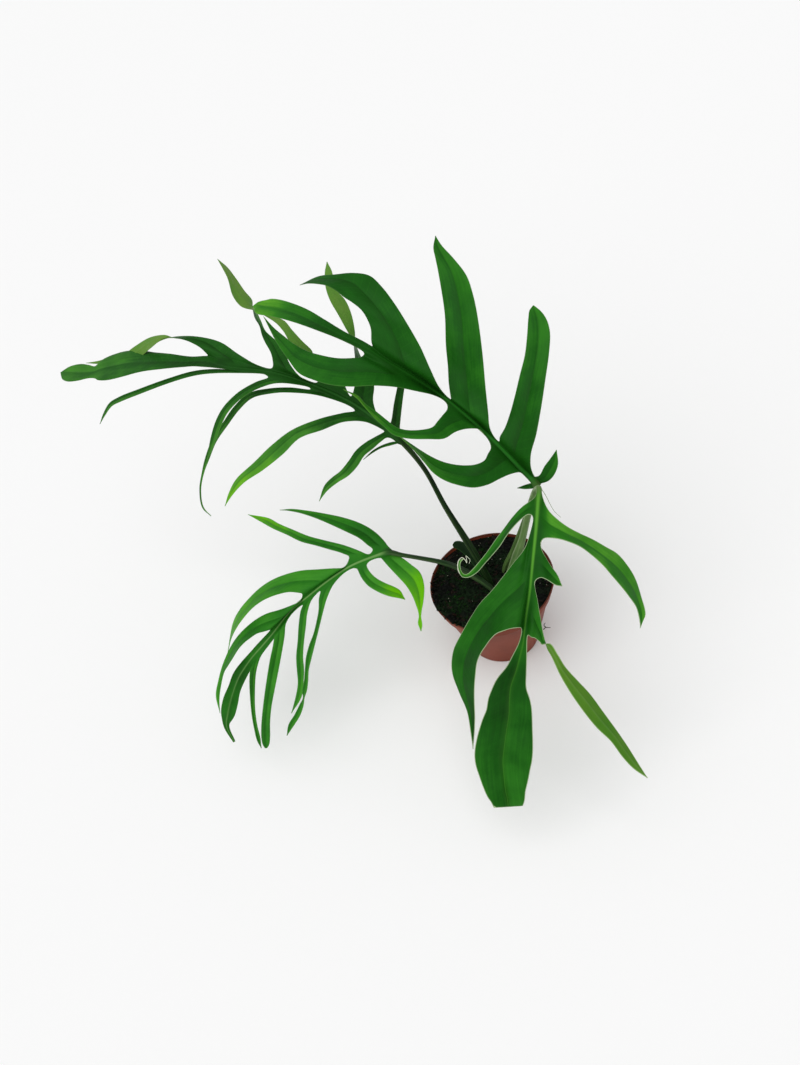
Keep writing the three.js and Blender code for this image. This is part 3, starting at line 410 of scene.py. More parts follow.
LEFT_LEAF = LeafPlan(
    petiole=(
        (495, 592, 86, 6), (484, 582.5, 98, 6.5), (472, 575, 108, 7), (459, 568, 120, 6.5),
        (445, 563, 131, 5.5), (420, 558, 147, 4.5), (402, 555, 157, 4.5),
    ),
    rib=(
        (389, 552.5, 161), (370, 558, 160), (350, 566.5, 157), (330, 579.5, 152), (310, 595, 145),
        (290, 612, 135),
    ),
    rib_radius=(2.1, 0.6),
    end=(
        (268.5, 633.5, 276, 635, 122), (257, 646.5, 266, 647, 115), (248.5, 655.5, 257, 658, 108),
        (240, 665.5, 251, 668, 101), (232.5, 676.5, 245.5, 678, 94), (228, 688.5, 240.5, 690, 87),
        (223, 701, 238, 702, 79), (221, 714, 234.5, 715, 71), (224, 727, 229, 724.5, 65),
        (233.5, 742.5, 235, 741, 57),
    ),
    light=(0.1, 0.1),
    wing_light=0.3,
    lobes=(
        Lobe(foot=(389, 552, 371, 557), light=(0.1, 0.6), rows=(
            (387, 545, 373, 550, 164), (380, 536.5, 367, 544.5, 168), (370, 528.5, 359, 538, 171),
            (357, 522, 347, 532, 174), (341, 517, 333, 525.5, 175), (324, 513.5, 318, 519, 175),
            (306, 510.5, 302, 513.5, 174), (291, 509, 289, 510.8, 172), (280, 510, 280, 510, 170),
        )),
        Lobe(foot=(370, 558, 349, 568), light=(0.2, 1.0), rows=(
            (366, 554, 350, 558, 162), (357, 550, 343, 553.5, 164), (343, 545, 330, 549.5, 165),
            (325, 540.5, 316, 545.5, 166), (309, 536.3, 301, 541.5, 166), (293.5, 530, 286.5, 534.5, 165),
            (279, 523.8, 273, 528.5, 163), (268, 518, 260.5, 521.5, 160), (248, 514.5, 248, 514.5, 156),
        )),
        Lobe(foot=(347, 569, 303, 601), light=(0.35, 0.75), rows=(
            (343, 568, 303, 594, 154), (332, 568.5, 297, 592.5, 155), (317, 569.5, 289, 592, 155),
            (302, 570.5, 281, 593.5, 154), (287, 574, 271.5, 596.5, 151), (273, 579.5, 262, 601, 147),
            (260.5, 587.5, 252.5, 608, 142), (249, 598.5, 243.5, 618, 136), (239.5, 610, 236.5, 628, 129),
            (233, 623, 231.5, 638, 121), (227.5, 654, 227.5, 654, 111),
        )),
        Lobe(foot=(303, 601, 272, 631), light=(0.2, 0.6), rows=(
            (299, 602, 269, 630, 139), (290, 606, 264, 631.5, 138), (279, 610, 257, 633.5, 136),
            (267, 613.5, 251, 637.5, 134), (256, 619.5, 244.5, 642.5, 130), (246, 627.5, 238.5, 649, 126),
            (237.5, 636.5, 233.5, 657, 121), (230, 648, 228.5, 665, 116), (223, 664, 224.3, 672, 110),
            (218.3, 681, 221.5, 683, 101), (216, 696, 219.4, 698, 92), (220, 713, 220, 713, 83),
        )),
        Lobe(foot=(391, 551, 380, 554.5), light=(0.35, 1.5), rows=(
            (395, 554, 383, 560, 157), (403, 558.5, 389.5, 567.5, 153), (411.5, 565, 398, 576.5, 148),
            (420, 572.5, 406.5, 586, 142), (424, 585, 412.5, 596, 134), (423.5, 600, 416.5, 606, 126),
            (421.5, 611.5, 418.5, 612.5, 120), (421, 617, 419, 617, 117), (422, 622.5, 418, 623, 114),
            (422, 627, 419.5, 627.5, 112), (421, 631, 421, 631, 110),
        )),
        Lobe(foot=(368, 559, 356, 564), light=(0.35, 1.0), rows=(
            (366.5, 565, 358, 570, 157), (369.5, 571.5, 361.5, 577.5, 154), (376, 578, 368, 585.5, 150),
            (385, 583, 378.5, 592, 145), (394, 586.8, 389.5, 596.3, 140), (400.5, 591, 398.5, 598, 136),
            (405, 599.5, 405, 599.5, 132),
        )),
        Lobe(foot=(340, 573, 319, 588), light=(0.3, 0.3), rows=(
            (333, 585, 320.5, 592, 149), (327, 598, 319, 599, 145), (323.5, 610, 318.7, 610, 140),
            (320.5, 622, 316.5, 622, 134), (317.5, 634, 313.5, 634, 128), (314.5, 646, 309, 646, 122),
            (311.5, 658, 306, 658, 115), (308.7, 670, 305, 670, 109), (308, 682, 304, 682, 102),
            (307, 690, 302.3, 690, 97, -2), (304.5, 698, 303, 698, 93, -5),
            (303.5, 705.5, 299.5, 705, 88, -2), (300, 715.5, 294.5, 715, 82), (293.5, 726, 288.5, 725, 75),
            (287, 735.5, 287, 735.5, 69),
        )),
        Lobe(foot=(318, 589, 302, 602), light=(0.35, 0.5), rows=(
            (312, 599, 303, 605, 141), (307.5, 612, 300.5, 612, 135), (305.8, 626, 298.7, 626, 127),
            (304, 641, 297.8, 641, 119), (303, 657, 296.3, 657, 110), (304, 670, 297, 670, 102),
            (303.5, 682, 298, 682, 94), (303, 691, 297, 691, 88), (300, 700, 295, 700, 83),
            (291.5, 713, 291.5, 713, 76),
        )),
        Lobe(foot=(288, 614, 274, 630), light=(0.35, 0.2), rows=(
            (286, 623, 275, 635, 128), (284.5, 636, 273, 646, 121), (282, 651, 270, 660, 113),
            (278.5, 670, 267.5, 675, 103), (274.5, 690, 265, 692, 92), (271.5, 706, 263, 708, 83),
            (270, 722, 261.5, 724, 74), (270, 737, 261.5, 738, 66), (269, 745, 263, 745, 61),
            (267, 748, 265, 748, 60),
        )),
        Lobe(foot=(265, 640, 247, 662), light=(0.4, 0.35), rows=(
            (261.5, 655, 250.5, 669, 106), (258, 664, 249.7, 675, 101), (255.7, 675, 249.5, 684, 93),
            (254.8, 694, 250.2, 698, 81), (255.2, 711, 251.7, 714, 70), (257.3, 726, 254.3, 729, 60),
            (260.3, 738, 257.3, 741, 53), (261.3, 748, 261.3, 748, 47),
        )),
    ),
)

OLD_PETIOLE = (
    (488, 579, 86, 7), (480, 567, 97, 8), (470, 554, 104, 8.5), (460, 545.5, 107, 8.5),
    (453, 545, 106, 6),
)


def linear(colour: str) -> tuple[float, float, float, float]:
    """Turns an sRGB hex colour into linear red, green, blue and alpha."""
    parts = [int(colour[i:i + 2], 16) / 255 for i in (1, 3, 5)]
    return (*(p / 12.92 if p <= 0.04045 else ((p + 0.055) / 1.055) ** 2.4 for p in parts), 1.0)


def smooth(x: Array) -> Array:
    """Eases from 0 at 0 to 1 at 1, level at both ends."""
    x = np.clip(x, 0.0, 1.0)
    return x * x * (3 - 2 * x)


def unit_vectors(v: Array) -> Array:
    """The vectors of the last axis, each with length 1."""
    return v / np.maximum(np.linalg.norm(v, axis=-1, keepdims=True), 1e-9)


def curve_through(knots: Array, pace: Array, per: int = 24) -> Array:
    """Draws a centripetal Catmull-Rom curve through rows of numbers.

    Args:
        knots: The rows to pass through.
        pace: A point for each row, whose distances set the curve's pace.
        per: Samples from one row to the next.

    Returns:
        The samples, with the same columns as the knots.
    """
    ghosts = [np.vstack([2 * v[0] - v[1], v, 2 * v[-1] - v[-2]]) for v in (knots, pace)]
    gaps = np.maximum(np.sqrt(np.linalg.norm(np.diff(ghosts[1], axis=0), axis=1)), 1e-3)
    share = (np.arange(per) / per)[:, None]
    out = []
    for k in range(len(knots) - 1):
        p = ghosts[0][k:k + 4]
        t = np.concatenate([[0.0], np.cumsum(gaps[k:k + 3])])
        x = t[1] + (t[2] - t[1]) * share
        near = [(p[i] * (t[i + 1] - x) + p[i + 1] * (x - t[i])) / (t[i + 1] - t[i]) for i in range(3)]
        nearer = [(near[i] * (t[i + 2] - x) + near[i + 1] * (x - t[i])) / (t[i + 2] - t[i]) for i in range(2)]
        out.append((nearer[0] * (t[2] - x) + nearer[1] * (x - t[1])) / (t[2] - t[1]))
    return np.vstack([*out, knots[-1:]])


def run_of(points: Array) -> Array:
    """The distance along a line of points, from 0 at the first."""
    return np.concatenate([[0.0], np.cumsum(np.linalg.norm(np.diff(points, axis=0), axis=1))])


def sample(values: Array, run: Array, at: Array) -> Array:
    """Reads rows of numbers at given distances along a line."""
    return np.stack([np.interp(at, run, column) for column in values.T], axis=1)


class Face(IntEnum):
    """Which face of a sheet a point is on."""

    ABOVE = 1
    MARGIN = 0
    BELOW = -1


class Sheet:
    """A thin skin that grows from strips of points, and then gets its thickness.

    Every point knows how far its upper and lower face stand off it, how freely it may settle, and what its
    material needs to know: its place across and along the blade, how veined it is, and its tone (how much it
    is rib, how light it is, how much it is stalk). No face stands off less than EDGE, and the margin is
    rounded by ROUND at most, both in millimetres.
    """

    EDGE: ClassVar[float] = 0.12
    ROUND: ClassVar[float] = 0.4

    def __init__(self) -> None:
        """Starts an empty sheet."""
        self.points: list[Array] = []
        self.facts: list[Array] = []
        self.quads: list[Array] = []
        self.count = 0

    def add_points(self, points: Array, facts: Array) -> Array:
        """Adds a grid of points.

        Args:
            points: Rows by columns by 3, in millimetres.
            facts: Rows by columns by 9: upper and lower stand-off, freedom, across, along, veined, tone (3).

        Returns:
            The number of each point, rows by columns.
        """
        rows, columns = points.shape[:2]
        numbers = self.count + np.arange(rows * columns).reshape(rows, columns)
        self.points.append(points.reshape(-1, 3))
        self.facts.append(facts.reshape(-1, 9))
        self.count += rows * columns
        return numbers

    def add_faces(self, numbers: Array, flip: bool = False) -> None:
        """Joins a grid of points by quads.

        Args:
            numbers: The numbers of the points, rows by columns.
            flip: Whether the upper side is columns crossed with rows, instead of rows with columns.
        """
        a, b, c, d = numbers[:-1, :-1], numbers[1:, :-1], numbers[1:, 1:], numbers[:-1, 1:]
        order = (a, d, c, b) if flip else (a, b, c, d)
        self.quads.append(np.stack([v.ravel() for v in order], axis=1))

    def finish(self, name: str, rounds: int) -> Piece:
        """Lets the sheet settle, thickens it and makes it an object.

        Args:
            name: The object's name.
            rounds: How many rounds the sheet settles for.

        Returns:
            The new object, smooth shaded. Its attributes are "blade" (across, along, distance from the
            margin), "tone" (rib, light, stalk) and "face" (1 above, -1 below and 0 on the margin, then
            veined).
        """
        points, facts, quads = np.vstack(self.points), np.vstack(self.facts), np.vstack(self.quads)
        sides = np.vstack([quads[:, [i, (i + 1) % 4]] for i in range(4)])
        keys = np.sort(sides, axis=1)
        _, index, uses = np.unique(keys, axis=0, return_inverse=True, return_counts=True)
        rim = sides[uses[index.ravel()] == 1]
        points = self._settle(points, facts[:, 2], keys, rim, rounds)
        normals = self._normals(points, quads)
        upper = points + normals * facts[:, 0:1]
        lower = points - normals * facts[:, 1:2]
        outward = np.zeros_like(points)
        away = np.cross(points[rim[:, 1]] - points[rim[:, 0]], normals[rim[:, 0]])
        for end in (0, 1):
            np.add.at(outward, rim[:, end], unit_vectors(away))
        on_rim = np.unique(rim)
        margin = self._distance(points, points[on_rim])
        middle_number = np.full(len(points), -1)
        middle_number[on_rim] = np.arange(len(on_rim)) + 2 * len(points)
        round_off = np.clip((facts[:, 0] + facts[:, 1]) / 2, self.EDGE, self.ROUND)[on_rim, None]
        middle = (upper + lower)[on_rim] / 2 + unit_vectors(outward[on_rim]) * round_off
        u, v, under = rim[:, 0], rim[:, 1], len(points)
        faces = [
            quads,
            quads[:, ::-1] + under,
            np.stack([v, u, middle_number[u], middle_number[v]], axis=1),
            np.stack([u + under, v + under, middle_number[v], middle_number[u]], axis=1),
        ]
        mesh = bpy.data.meshes.new(name)
        corners = np.vstack([upper, lower, middle]) * MM
        mesh.from_pydata(corners.tolist(), [], np.vstack(faces).tolist())
        mesh.update()
        mesh.shade_smooth()
        kept = np.concatenate([np.arange(under), np.arange(under), on_rim])
        side = np.repeat([Face.ABOVE, Face.BELOW, Face.MARGIN], [under, under, len(on_rim)])
        for title, columns in (
            ("blade", (facts[kept, 3], facts[kept, 4], margin[kept])),
            ("tone", (facts[kept, 6], facts[kept, 7], facts[kept, 8])),
            ("face", (side, facts[kept, 5], 0 * side)),
        ):
            layer = mesh.attributes.new(title, "FLOAT_VECTOR", "POINT")
            layer.data.foreach_set("vector", np.stack(columns, axis=1).ravel().astype("f"))
        made = bpy.data.objects.new(name, mesh)
        bpy.context.collection.objects.link(made)
        return made

    @staticmethod
    def _settle(
        points: Array, freedom: Array, edges: Array, rim: Array, rounds: int
    ) -> Array:
        """Moves free points to the middle of their neighbours; a point on the rim keeps to the rim.

        Args:
            points: The sheet's points.
            freedom: How far each point may follow its neighbours, from 0 to 1.
            edges: Pairs of neighbours.
            rim: Pairs of neighbours along the rim.
            rounds: How many rounds to go.

        Returns:
            The settled points.
        """
        on_rim = np.zeros(len(points), bool)
        on_rim[rim.ravel()] = True
        inner = np.unique(edges, axis=0)
        inner = np.vstack([inner, inner[:, ::-1]])
        inner = inner[~on_rim[inner[:, 0]]]
        pairs = np.vstack([inner, rim, rim[:, ::-1]])
        share = np.zeros(len(points))
        np.add.at(share, pairs[:, 0], 1.0)
        step = (0.5 * freedom / np.maximum(share, 1))[:, None]
        for _ in range(rounds):
            pull = np.zeros_like(points)
            np.add.at(pull, pairs[:, 0], points[pairs[:, 1]] - points[pairs[:, 0]])
            points = points + pull * step
        return points

    @staticmethod
    def _distance(points: Array, rim: Array) -> Array:
        """Measures how far each point is from the nearest point of the rim.

        Args:
            points: The points.
            rim: The points of the rim.

        Returns:
            The distances.
        """
        tree = kdtree.KDTree(len(rim))
        for number, spot in enumerate(rim):
            tree.insert(spot, number)
        tree.balance()
        return np.array([tree.find(spot)[2] for spot in points])

    @staticmethod
    def _normals(points: Array, quads: Array) -> Array:
        """Finds the direction that each point's upper side faces.

        Args:
            points: The points.
            quads: The numbers of each quad's points.

        Returns:
            A direction for each point.
        """
        a, b, c, d = (points[quads[:, i]] for i in range(4))
        facing = np.cross(c - a, d - b)
        total = np.zeros_like(points)
        for i in range(4):
            np.add.at(total, quads[:, i], facing)
        return unit_vectors(total)


@dataclass
class Axis:
    """A petiole and midrib, as cross-sections from the soil to the tip of the end lobe.

    Attributes:
        middle: The centre of each section.
        side: The direction across each section.
        top: The direction that its upper side faces.
        half: Half its width.
        radius: The radius of the petiole or midrib there.
        run: Its distance from the root's end.
        blade: How much it is blade, from 0 on the petiole to 1.
    """

    middle: Array
    side: Array
    top: Array
    half: Array
    radius: Array
    run: Array
    blade: Array


@dataclass
class Frond:
    """One whole leaf: petiole, midrib, wing and lobes, grown together in one skin. Lengths are millimetres.

    Attributes:
        sight: The view that it is drawn from.
        seed: Start of the random draws for its waves.
        wing: Half the width of the wing that joins the lobes along the midrib, in units of the sketch.
        sheath: How far up the petiole its sheath reaches, as a share.
        channel: How deep the sheath's channel is, and how far its edges stand up, as shares of the radius.
        root_depth: How far the petiole goes on below the top of the soil.
        opens: How far before its end the petiole begins to turn into blade, and within what length it does.
        lobe_like: By how much a section is wider than the wing once it counts as a lobe.
        cup: How deep a lobe's gutter is, as a share of half its width.
        crease: How sharp the gutter is along the midvein, as a share of half the width.
        waviness: How high the waves of the margin are, as a share of half the width.
        wave_shift: How much faster the waves of the second edge go.
        broad: Half the width past which gutter and waves stop growing.
        grown: How far along a lobe its own shape has come in.
        vein_columns: How far from the midvein its first two columns are.
        light_bend: How late the lobes turn lighter towards their tips.
        follow: How much of the midrib's slope a lobe's rows take on at its foot.
        follow_reach: How far out they do so, as a share of the foot's length.
        settle_reach: How far along a lobe the skin may settle.
        still_end: How far from its tip the end lobe doesn't settle.
    """

    name: str
    plan: LeafPlan
    sight: Sight
    seed: int
    wing: float = 2.4
    sheath: float = 0.45
    channel: Pair = (0.9, 0.15)
    root_depth: float = 24.0
    root_taper: float = 0.8
    step: float = 2.0
    stalk_step: float = 3.0
    least_gap: float = 0.7
    least_columns: int = 10
    round_columns: int = 4
    half_columns: int = 9
    opens: Pair = (4.0, 14.0)
    lobe_like: float = 6.0
    blade_half: float = 0.3
    margin_half: float = 0.18
    margin_band: float = 2.5
    cup: float = 0.2
    crease: float = 0.05
    waviness: float = 0.08
    wave_length: Pair = (34.0, 52.0)
    wave_shift: float = 1.13
    broad: float = 12.0
    grown: float = 14.0
    vein_half: float = 0.6
    vein_columns: Pair = (0.7, 1.8)
    margin_column: float = 0.6
    groove: float = 0.16
    keel: float = 0.4
    rib_tip: float = 0.25
    rib_rise: float = 0.14
    rib_drop: float = 0.9
    light_bend: float = 1.5
    follow: float = 0.8
    follow_reach: float = 1.5
    settle_reach: float = 8.0
    settle_rounds: int = 9
    still_end: float = 20.0

    def build(self) -> Piece:
        """Makes the leaf.

        Returns:
            The leaf's object.
        """
        self._random = np.random.default_rng(self.seed)
        curve, run, joint = self._centre_line()
        feet = [self._foot_on(curve, run, joint, lobe) for lobe in self.plan.lobes]
        axis = self._sections(curve, run, joint, self._stations(run, joint, feet))
        sheet = Sheet()
        numbers = self._grow_axis(sheet, axis)
        for lobe, (start, stop) in zip(self.plan.lobes, feet):
            self._grow_lobe(sheet, axis, numbers, lobe, start, stop)
        return sheet.finish(self.name, self.settle_rounds)

    def _centre_line(self) -> tuple[Array, Array, float]:
        """Draws the leaf's whole centre line.

        Returns:
            Samples (centre, half width vector, radius), the distance along them, and where the petiole ends.
        """
        plan, sight = self.plan, self.sight
        stem, rib, end = (np.array(rows, float) for rows in (plan.petiole, plan.rib, plan.end))
        stem_points = sight.seen(*stem[:, :3].T)
        stem_radius = stem[:, 3] * sight.unit_at(stem_points) / 2
        stem_points = np.vstack([stem_points[0] - [0, 0, self.root_depth], stem_points])
        stem_radius = np.concatenate([stem_radius[:1] * self.root_taper, stem_radius])
        first, second = (sight.seen(end[:, i], end[:, i + 1], end[:, 4]) for i in (0, 2))
        rib_points = sight.seen(*rib.T)
        ahead = np.vstack([rib[1:, :2], [(end[0, :2] + end[0, 2:4]) / 2]])
        behind = np.vstack([rib[:1, :2], rib[:-1, :2]])
        way = unit_vectors(ahead - behind) * self.wing
        rib_half = sight.seen(rib[:, 0] - way[:, 1], rib[:, 1] + way[:, 0], rib[:, 2]) - rib_points
        end_half = (second - first) / 2
        if rib_half[-1] @ end_half[0] < 0:
            end_half = -end_half
        middle = np.vstack([stem_points, rib_points, (first + second) / 2])
        across = [rib_half[0]]
        for k in range(len(stem_points) - 1, -1, -1):
            tangent = unit_vectors(middle[k + 1] - middle[max(k - 1, 0)])
            across.append(unit_vectors(across[-1] - (across[-1] @ tangent) * tangent))
        stem_half = np.array(across[:0:-1]) * stem_radius[:, None]
        ends = np.array(plan.rib_radius)
        rib_radius = ends[0] + (ends[1] - ends[0]) * np.sqrt(np.arange(len(rib)) / len(rib))
        end_radius = ends[1] * np.linspace(1.0, self.rib_tip, len(end))
        half = np.vstack([stem_half, rib_half, end_half])
        radius = np.concatenate([stem_radius, rib_radius, end_radius])[:, None]
        per = 24
        curve = curve_through(np.hstack([middle, half, radius]), middle, per)
        run = run_of(curve[:, :3])
        return curve, run, run[per * len(stem_points)]

    def _foot_on(self, curve: Array, run: Array, joint: float, lobe: Lobe) -> Pair:
        """Finds the stretch of centre line nearest to a lobe's foot.

        Args:
            curve: The centre line's samples.
            run: The distance along them.
            joint: Where the petiole ends.
            lobe: The lobe.

        Returns:
            The distances at which its foot starts and stops.
        """
        blade = run >= joint
        places = self.sight.shows(curve[blade, :3])
        ends = np.array(lobe.foot).reshape(2, 2)
        found = [run[blade][np.argmin(np.linalg.norm(places - spot, axis=1))] for spot in ends]
        return min(found), max(found)

    def _stations(self, run: Array, joint: float, feet: list[Pair]) -> Array:
        """Spreads the sections along the leaf, with enough of them in the foot of each lobe.

        Args:
            run: The distance along the centre line's samples.
            joint: Where the petiole ends.
            feet: Where each lobe's foot starts and stops; rounded here to shared places.

        Returns:
            The distances of the sections.
        """
        marks = sorted({joint, run[-1], *(v for foot in feet for v in foot)})
        kept = [marks[0]]
        for mark in marks[1:]:
            if mark - kept[-1] > self.least_gap:
                kept.append(mark)
        kept[-1] = run[-1]
        for k, foot in enumerate(feet):
            feet[k] = tuple(min(kept, key=lambda mark: abs(mark - v)) for v in foot)
        parts = [np.linspace(0, joint, math.ceil(joint / self.stalk_step), endpoint=False)]
        for a, b in zip(kept[:-1], kept[1:]):
            steps = [(stop - start) / self.least_columns for start, stop in feet if start <= a and b <= stop]
            count = 2 * math.ceil((b - a) / (2 * min([self.step, *steps])) - 1e-6)
            parts.append(np.linspace(a, b, count, endpoint=False))
        return np.concatenate([*parts, run[-1:]])

    def _sections(self, curve: Array, run: Array, joint: float, at: Array) -> Axis:
        """Reads the centre line at the sections.

        Args:
            curve: The centre line's samples.
            run: The distance along them.
            joint: Where the petiole ends.
            at: The distances of the sections.

        Returns:
            The sections.
        """
        values = sample(curve, run, at)
        middle, half, radius = values[:, :3], values[:, 3:6], values[:, 6]
        tangent = unit_vectors(np.gradient(middle, axis=0))
        side = unit_vectors(half - np.sum(half * tangent, axis=1, keepdims=True) * tangent)
        top = np.cross(tangent, side)
        rib_middle = np.searchsorted(at, joint) + 3
        if top[rib_middle] @ (self.sight.eye - middle[rib_middle]) < 0:
            side, top = -side, -top
        blade = smooth((at - joint + self.opens[0]) / self.opens[1])
        width = np.maximum(np.linalg.norm(half, axis=1), radius * (1 + 0.15 * blade))
        return Axis(middle, side, top, width, radius, at, blade)

    def _grow_axis(self, sheet: Sheet, axis: Axis) -> Array:
        """Adds the petiole, midrib, wing and end lobe to the sheet.

        Args:
            sheet: The sheet.
            axis: The sections.

        Returns:
            The numbers of the points, sections by columns.
        """
        m, near = self.half_columns, self.round_columns
        j = np.arange(-m, m + 1)
        bend = np.pi / 2 * j / m
        inner = np.pi / 2 * np.clip(np.abs(j) / near, 0, 1)
        outer = np.clip((np.abs(j) - near) / (m - near), 0, 1)
        r, w, blade = axis.radius[:, None], axis.half[:, None], axis.blade[:, None]
        flat = np.sign(j) * (r * np.sin(inner) + (w - r) * outer)
        lateral = (1 - blade) * w * np.sin(bend) + blade * flat
        c = lateral / w
        length = axis.run[-1]
        past = axis.run[:, None] - axis.run[np.argmax(axis.blade > 0.5)]
        lobe_like = smooth((w - self.wing * 1.1) / self.lobe_like)
        lift = blade * lobe_like * self.cup * np.minimum(w, self.broad) * self._gutter(c)
        points = axis.middle[:, None] + lateral[..., None] * axis.side[:, None]
        points += self._towards_eye(points, axis.top[:, None], lift)
        bulge = r * np.cos(inner) ** 2
        skin = self._skin(c, w)
        sheathed = (1 - blade) * smooth(1 - axis.run / (self.sheath * length))[:, None]
        channel = sheathed * r * (self.channel[0] * np.cos(bend) ** 2 - self.channel[1])
        upper = (1 - blade) * (r * np.cos(bend) - channel) + blade * (skin + self.rib_rise * bulge)
        lower = (1 - blade) * r * np.cos(bend) + blade * (skin + self.rib_drop * bulge)
        rib = blade * np.clip(1.3 - np.abs(lateral) / np.maximum(r, 0.3), 0, 1)
        start = past[np.argmax(lobe_like > 0.3)]
        share = np.clip((past - start) / np.maximum(past[-1] - start, 1), 0, 1)
        # The lightness is set leaf by leaf; besides the green's own change it carries painted light where the
        # lobe catches it.
        light = self.plan.light[0] + (self.plan.light[1] - self.plan.light[0]) * share ** self.light_bend
        light = self.plan.wing_light + (light - self.plan.wing_light) * smooth(share * 8)
        free = blade * np.clip((np.abs(j) - near) / (m - near), 0, 1) * (1 - smooth(lobe_like * 1.5))
        free = free * (axis.run[:, None] < length - self.still_end)
        whole = np.ones_like(lateral)
        # The sign of across picks which half of the end lobe gets the painted shade.
        facts = np.stack(
            [
                np.maximum(upper, Sheet.EDGE), np.maximum(lower, Sheet.EDGE), free,
                self.plan.end_shaded_half * lateral, past * whole, blade * lobe_like * whole,
                rib, light * whole, (1 - blade) * whole,
            ],
            axis=-1,
        )
        numbers = sheet.add_points(points, facts)
        sheet.add_faces(numbers)
        return numbers

    def _towards_eye(self, points: Array, normal: Array, lift: Array) -> Array:
        """Lifts a skin off itself along the line of sight, so that its outline on the sketch stays.

        Args:
            points: The skin's points.
            normal: The direction that the upper side faces at each.
            lift: How far each rises.

        Returns:
            The move of each point.
        """
        sightline = unit_vectors(self.sight.eye - points)
        return sightline * (lift * np.sum(normal * sightline, axis=-1))[..., None]

    def _skin(self, c: Array, half: Array) -> Array:
        """Half the thickness of the blade: full in the middle and thin at the margin."""
        rim = np.clip((1 - np.abs(c)) * half / self.margin_band, 0, 1)
        return self.margin_half + (self.blade_half - self.margin_half) * np.sqrt(rim)

    def _gutter(self, c: Array) -> Array:
        """How a lobe stands across: a gutter along the midvein between two rounded halves, 0 on average."""
        away = np.sqrt(c * c + self.crease ** 2)
        return 1 - (1 - np.minimum(away, 1)) ** 2 - 2 / 3

    def _tilt(self, base: Array, rows: Array) -> Array:
        """Works out how much higher each row's second edge is, so that the lobe's foot lies along the midrib.

        Args:
            base: The lobe's foot on the wing.
            rows: The lobe's rows.

        Returns:
            The tilt of each row, which fades along the lobe.
        """
        ends = self.sight.shows(base[[0, -1]])
        foot = max(float(np.linalg.norm(ends[1] - ends[0])), 1.0)
        width = np.linalg.norm(rows[:, 2:4] - rows[:, :2], axis=1)
        away = np.linalg.norm((rows[:, :2] + rows[:, 2:4]) / 2 - ends.mean(axis=0), axis=1)
        fade = smooth(1 - away / (self.follow_reach * foot))
        return self.follow * (base[-1, 2] - base[0, 2]) * width / foot * fade

    def _way(self, axis: Axis, a: int, b: int, goal: Array) -> float:
        """Finds which side of the midrib a lobe stands on, as it shows on the sketch.

        Args:
            axis: The leaf's sections.
            a: The section where its foot starts.
            b: The section where its foot stops.
            goal: A point in the lobe.

        Returns:
            1 for the side that the sections' own side direction points to, else -1.
        """
        centre = (a + b) // 2
        middle = axis.middle[centre]
        start, stop, here, aside, there = self.sight.shows(
            np.vstack([axis.middle[a], axis.middle[b], middle, middle + axis.side[centre], goal])
        )
        across = np.array([start[1] - stop[1], stop[0] - start[0]])
        return float(np.sign(((there - here) @ across) * ((aside - here) @ across)))

    def _across(self, half: Array, columns: int) -> Array:
        """Places columns across a lobe, closer together at its midvein and at its margins.

        Args:
            half: Half the width of each row.
            columns: How many steps there are across it, an even number.

        Returns:
            Places from -1 to 1, rows by columns.
        """
        count = columns // 2
        even = np.arange(count + 1) / count
        half = half[:, None]
        places = np.repeat(even[None], len(half), axis=0)
        inner = np.minimum(even[2], self.vein_columns[1] / half)[:, 0]
        outer = np.maximum(even[-2], 1 - self.margin_column / half)[:, 0]
        spread = (even[2:-1] - even[2]) / max(even[-2] - even[2], 1e-6)
        places[:, 1] = np.minimum(even[1], self.vein_columns[0] / half)[:, 0]
        places[:, 2:-1] = inner[:, None] + (outer - inner)[:, None] * spread
        return np.hstack([-places[:, :0:-1], places])

    def _grow_lobe(
        self, sheet: Sheet, axis: Axis, numbers: Array, lobe: Lobe, start: float, stop: float
    ) -> None:
        """Adds a side lobe to the sheet, on the edge of the wing.

        Args:
            sheet: The sheet.
            axis: The leaf's sections.
            numbers: The numbers of the points of the sections.
            lobe: The lobe.
            start: Where its foot starts on the centre line.
            stop: Where its foot stops.
        """
        sight = self.sight
        rows = np.array([(*row, 0.0)[:6] for row in lobe.rows])
        a, b = (int(np.argmin(np.abs(axis.run - v))) for v in (start, stop))
        goal = sight.seen(*(rows[:3, :2] + rows[:3, 2:4]).T / 2, rows[:3, 4]).mean(axis=0)
        way = self._way(axis, a, b, goal)
        foot = numbers[a:b + 1, -1 if way > 0 else 0]
        wing_light = sheet.facts[0][foot[0], 7]
        base = np.vstack(sheet.points)[foot]
        tilt = rows[:, 5] + self._tilt(base, rows) * (rows[0, 5] == 0)
        first = sight.seen(rows[:, 0], rows[:, 1], rows[:, 4] - tilt / 2)
        second = sight.seen(rows[:, 2], rows[:, 3], rows[:, 4] + tilt / 2)
        columns = b - a
        ends = np.hstack([np.vstack([base[0], first]), np.vstack([base[-1], second])])
        middle = np.vstack([base[columns // 2], (first + second) / 2])
        fine = curve_through(np.hstack([ends, middle]), middle)
        run = run_of(fine[:, 6:9])
        at = np.linspace(0, run[-1], max(6, round(run[-1] / self.step)) + 1)
        fine = sample(fine, run, at)
        near, far = fine[:, :3], fine[:, 3:6]
        span = far - near
        for k in range(1, len(at)):
            if np.linalg.norm(span[k]) < 0.5:
                span[k] = unit_vectors(span[k - 1]) * 0.5
        half = np.linalg.norm(span, axis=1) / 2
        c = self._across(half, columns)
        points = (near + far)[:, None] / 2 + c[..., None] * span[:, None] / 2
        fade = 1 - smooth(at / max(run_of(middle)[1], 10.0))
        points += fade[:, None, None] * (base - points[0])[None]
        normal = unit_vectors(np.cross(np.gradient(points, axis=1), np.gradient(points, axis=0))) * way
        length = at[-1]
        grown_in = smooth(at / self.grown)[:, None]
        cup = grown_in * self.cup * np.minimum(half, self.broad)[:, None] * self._gutter(c)
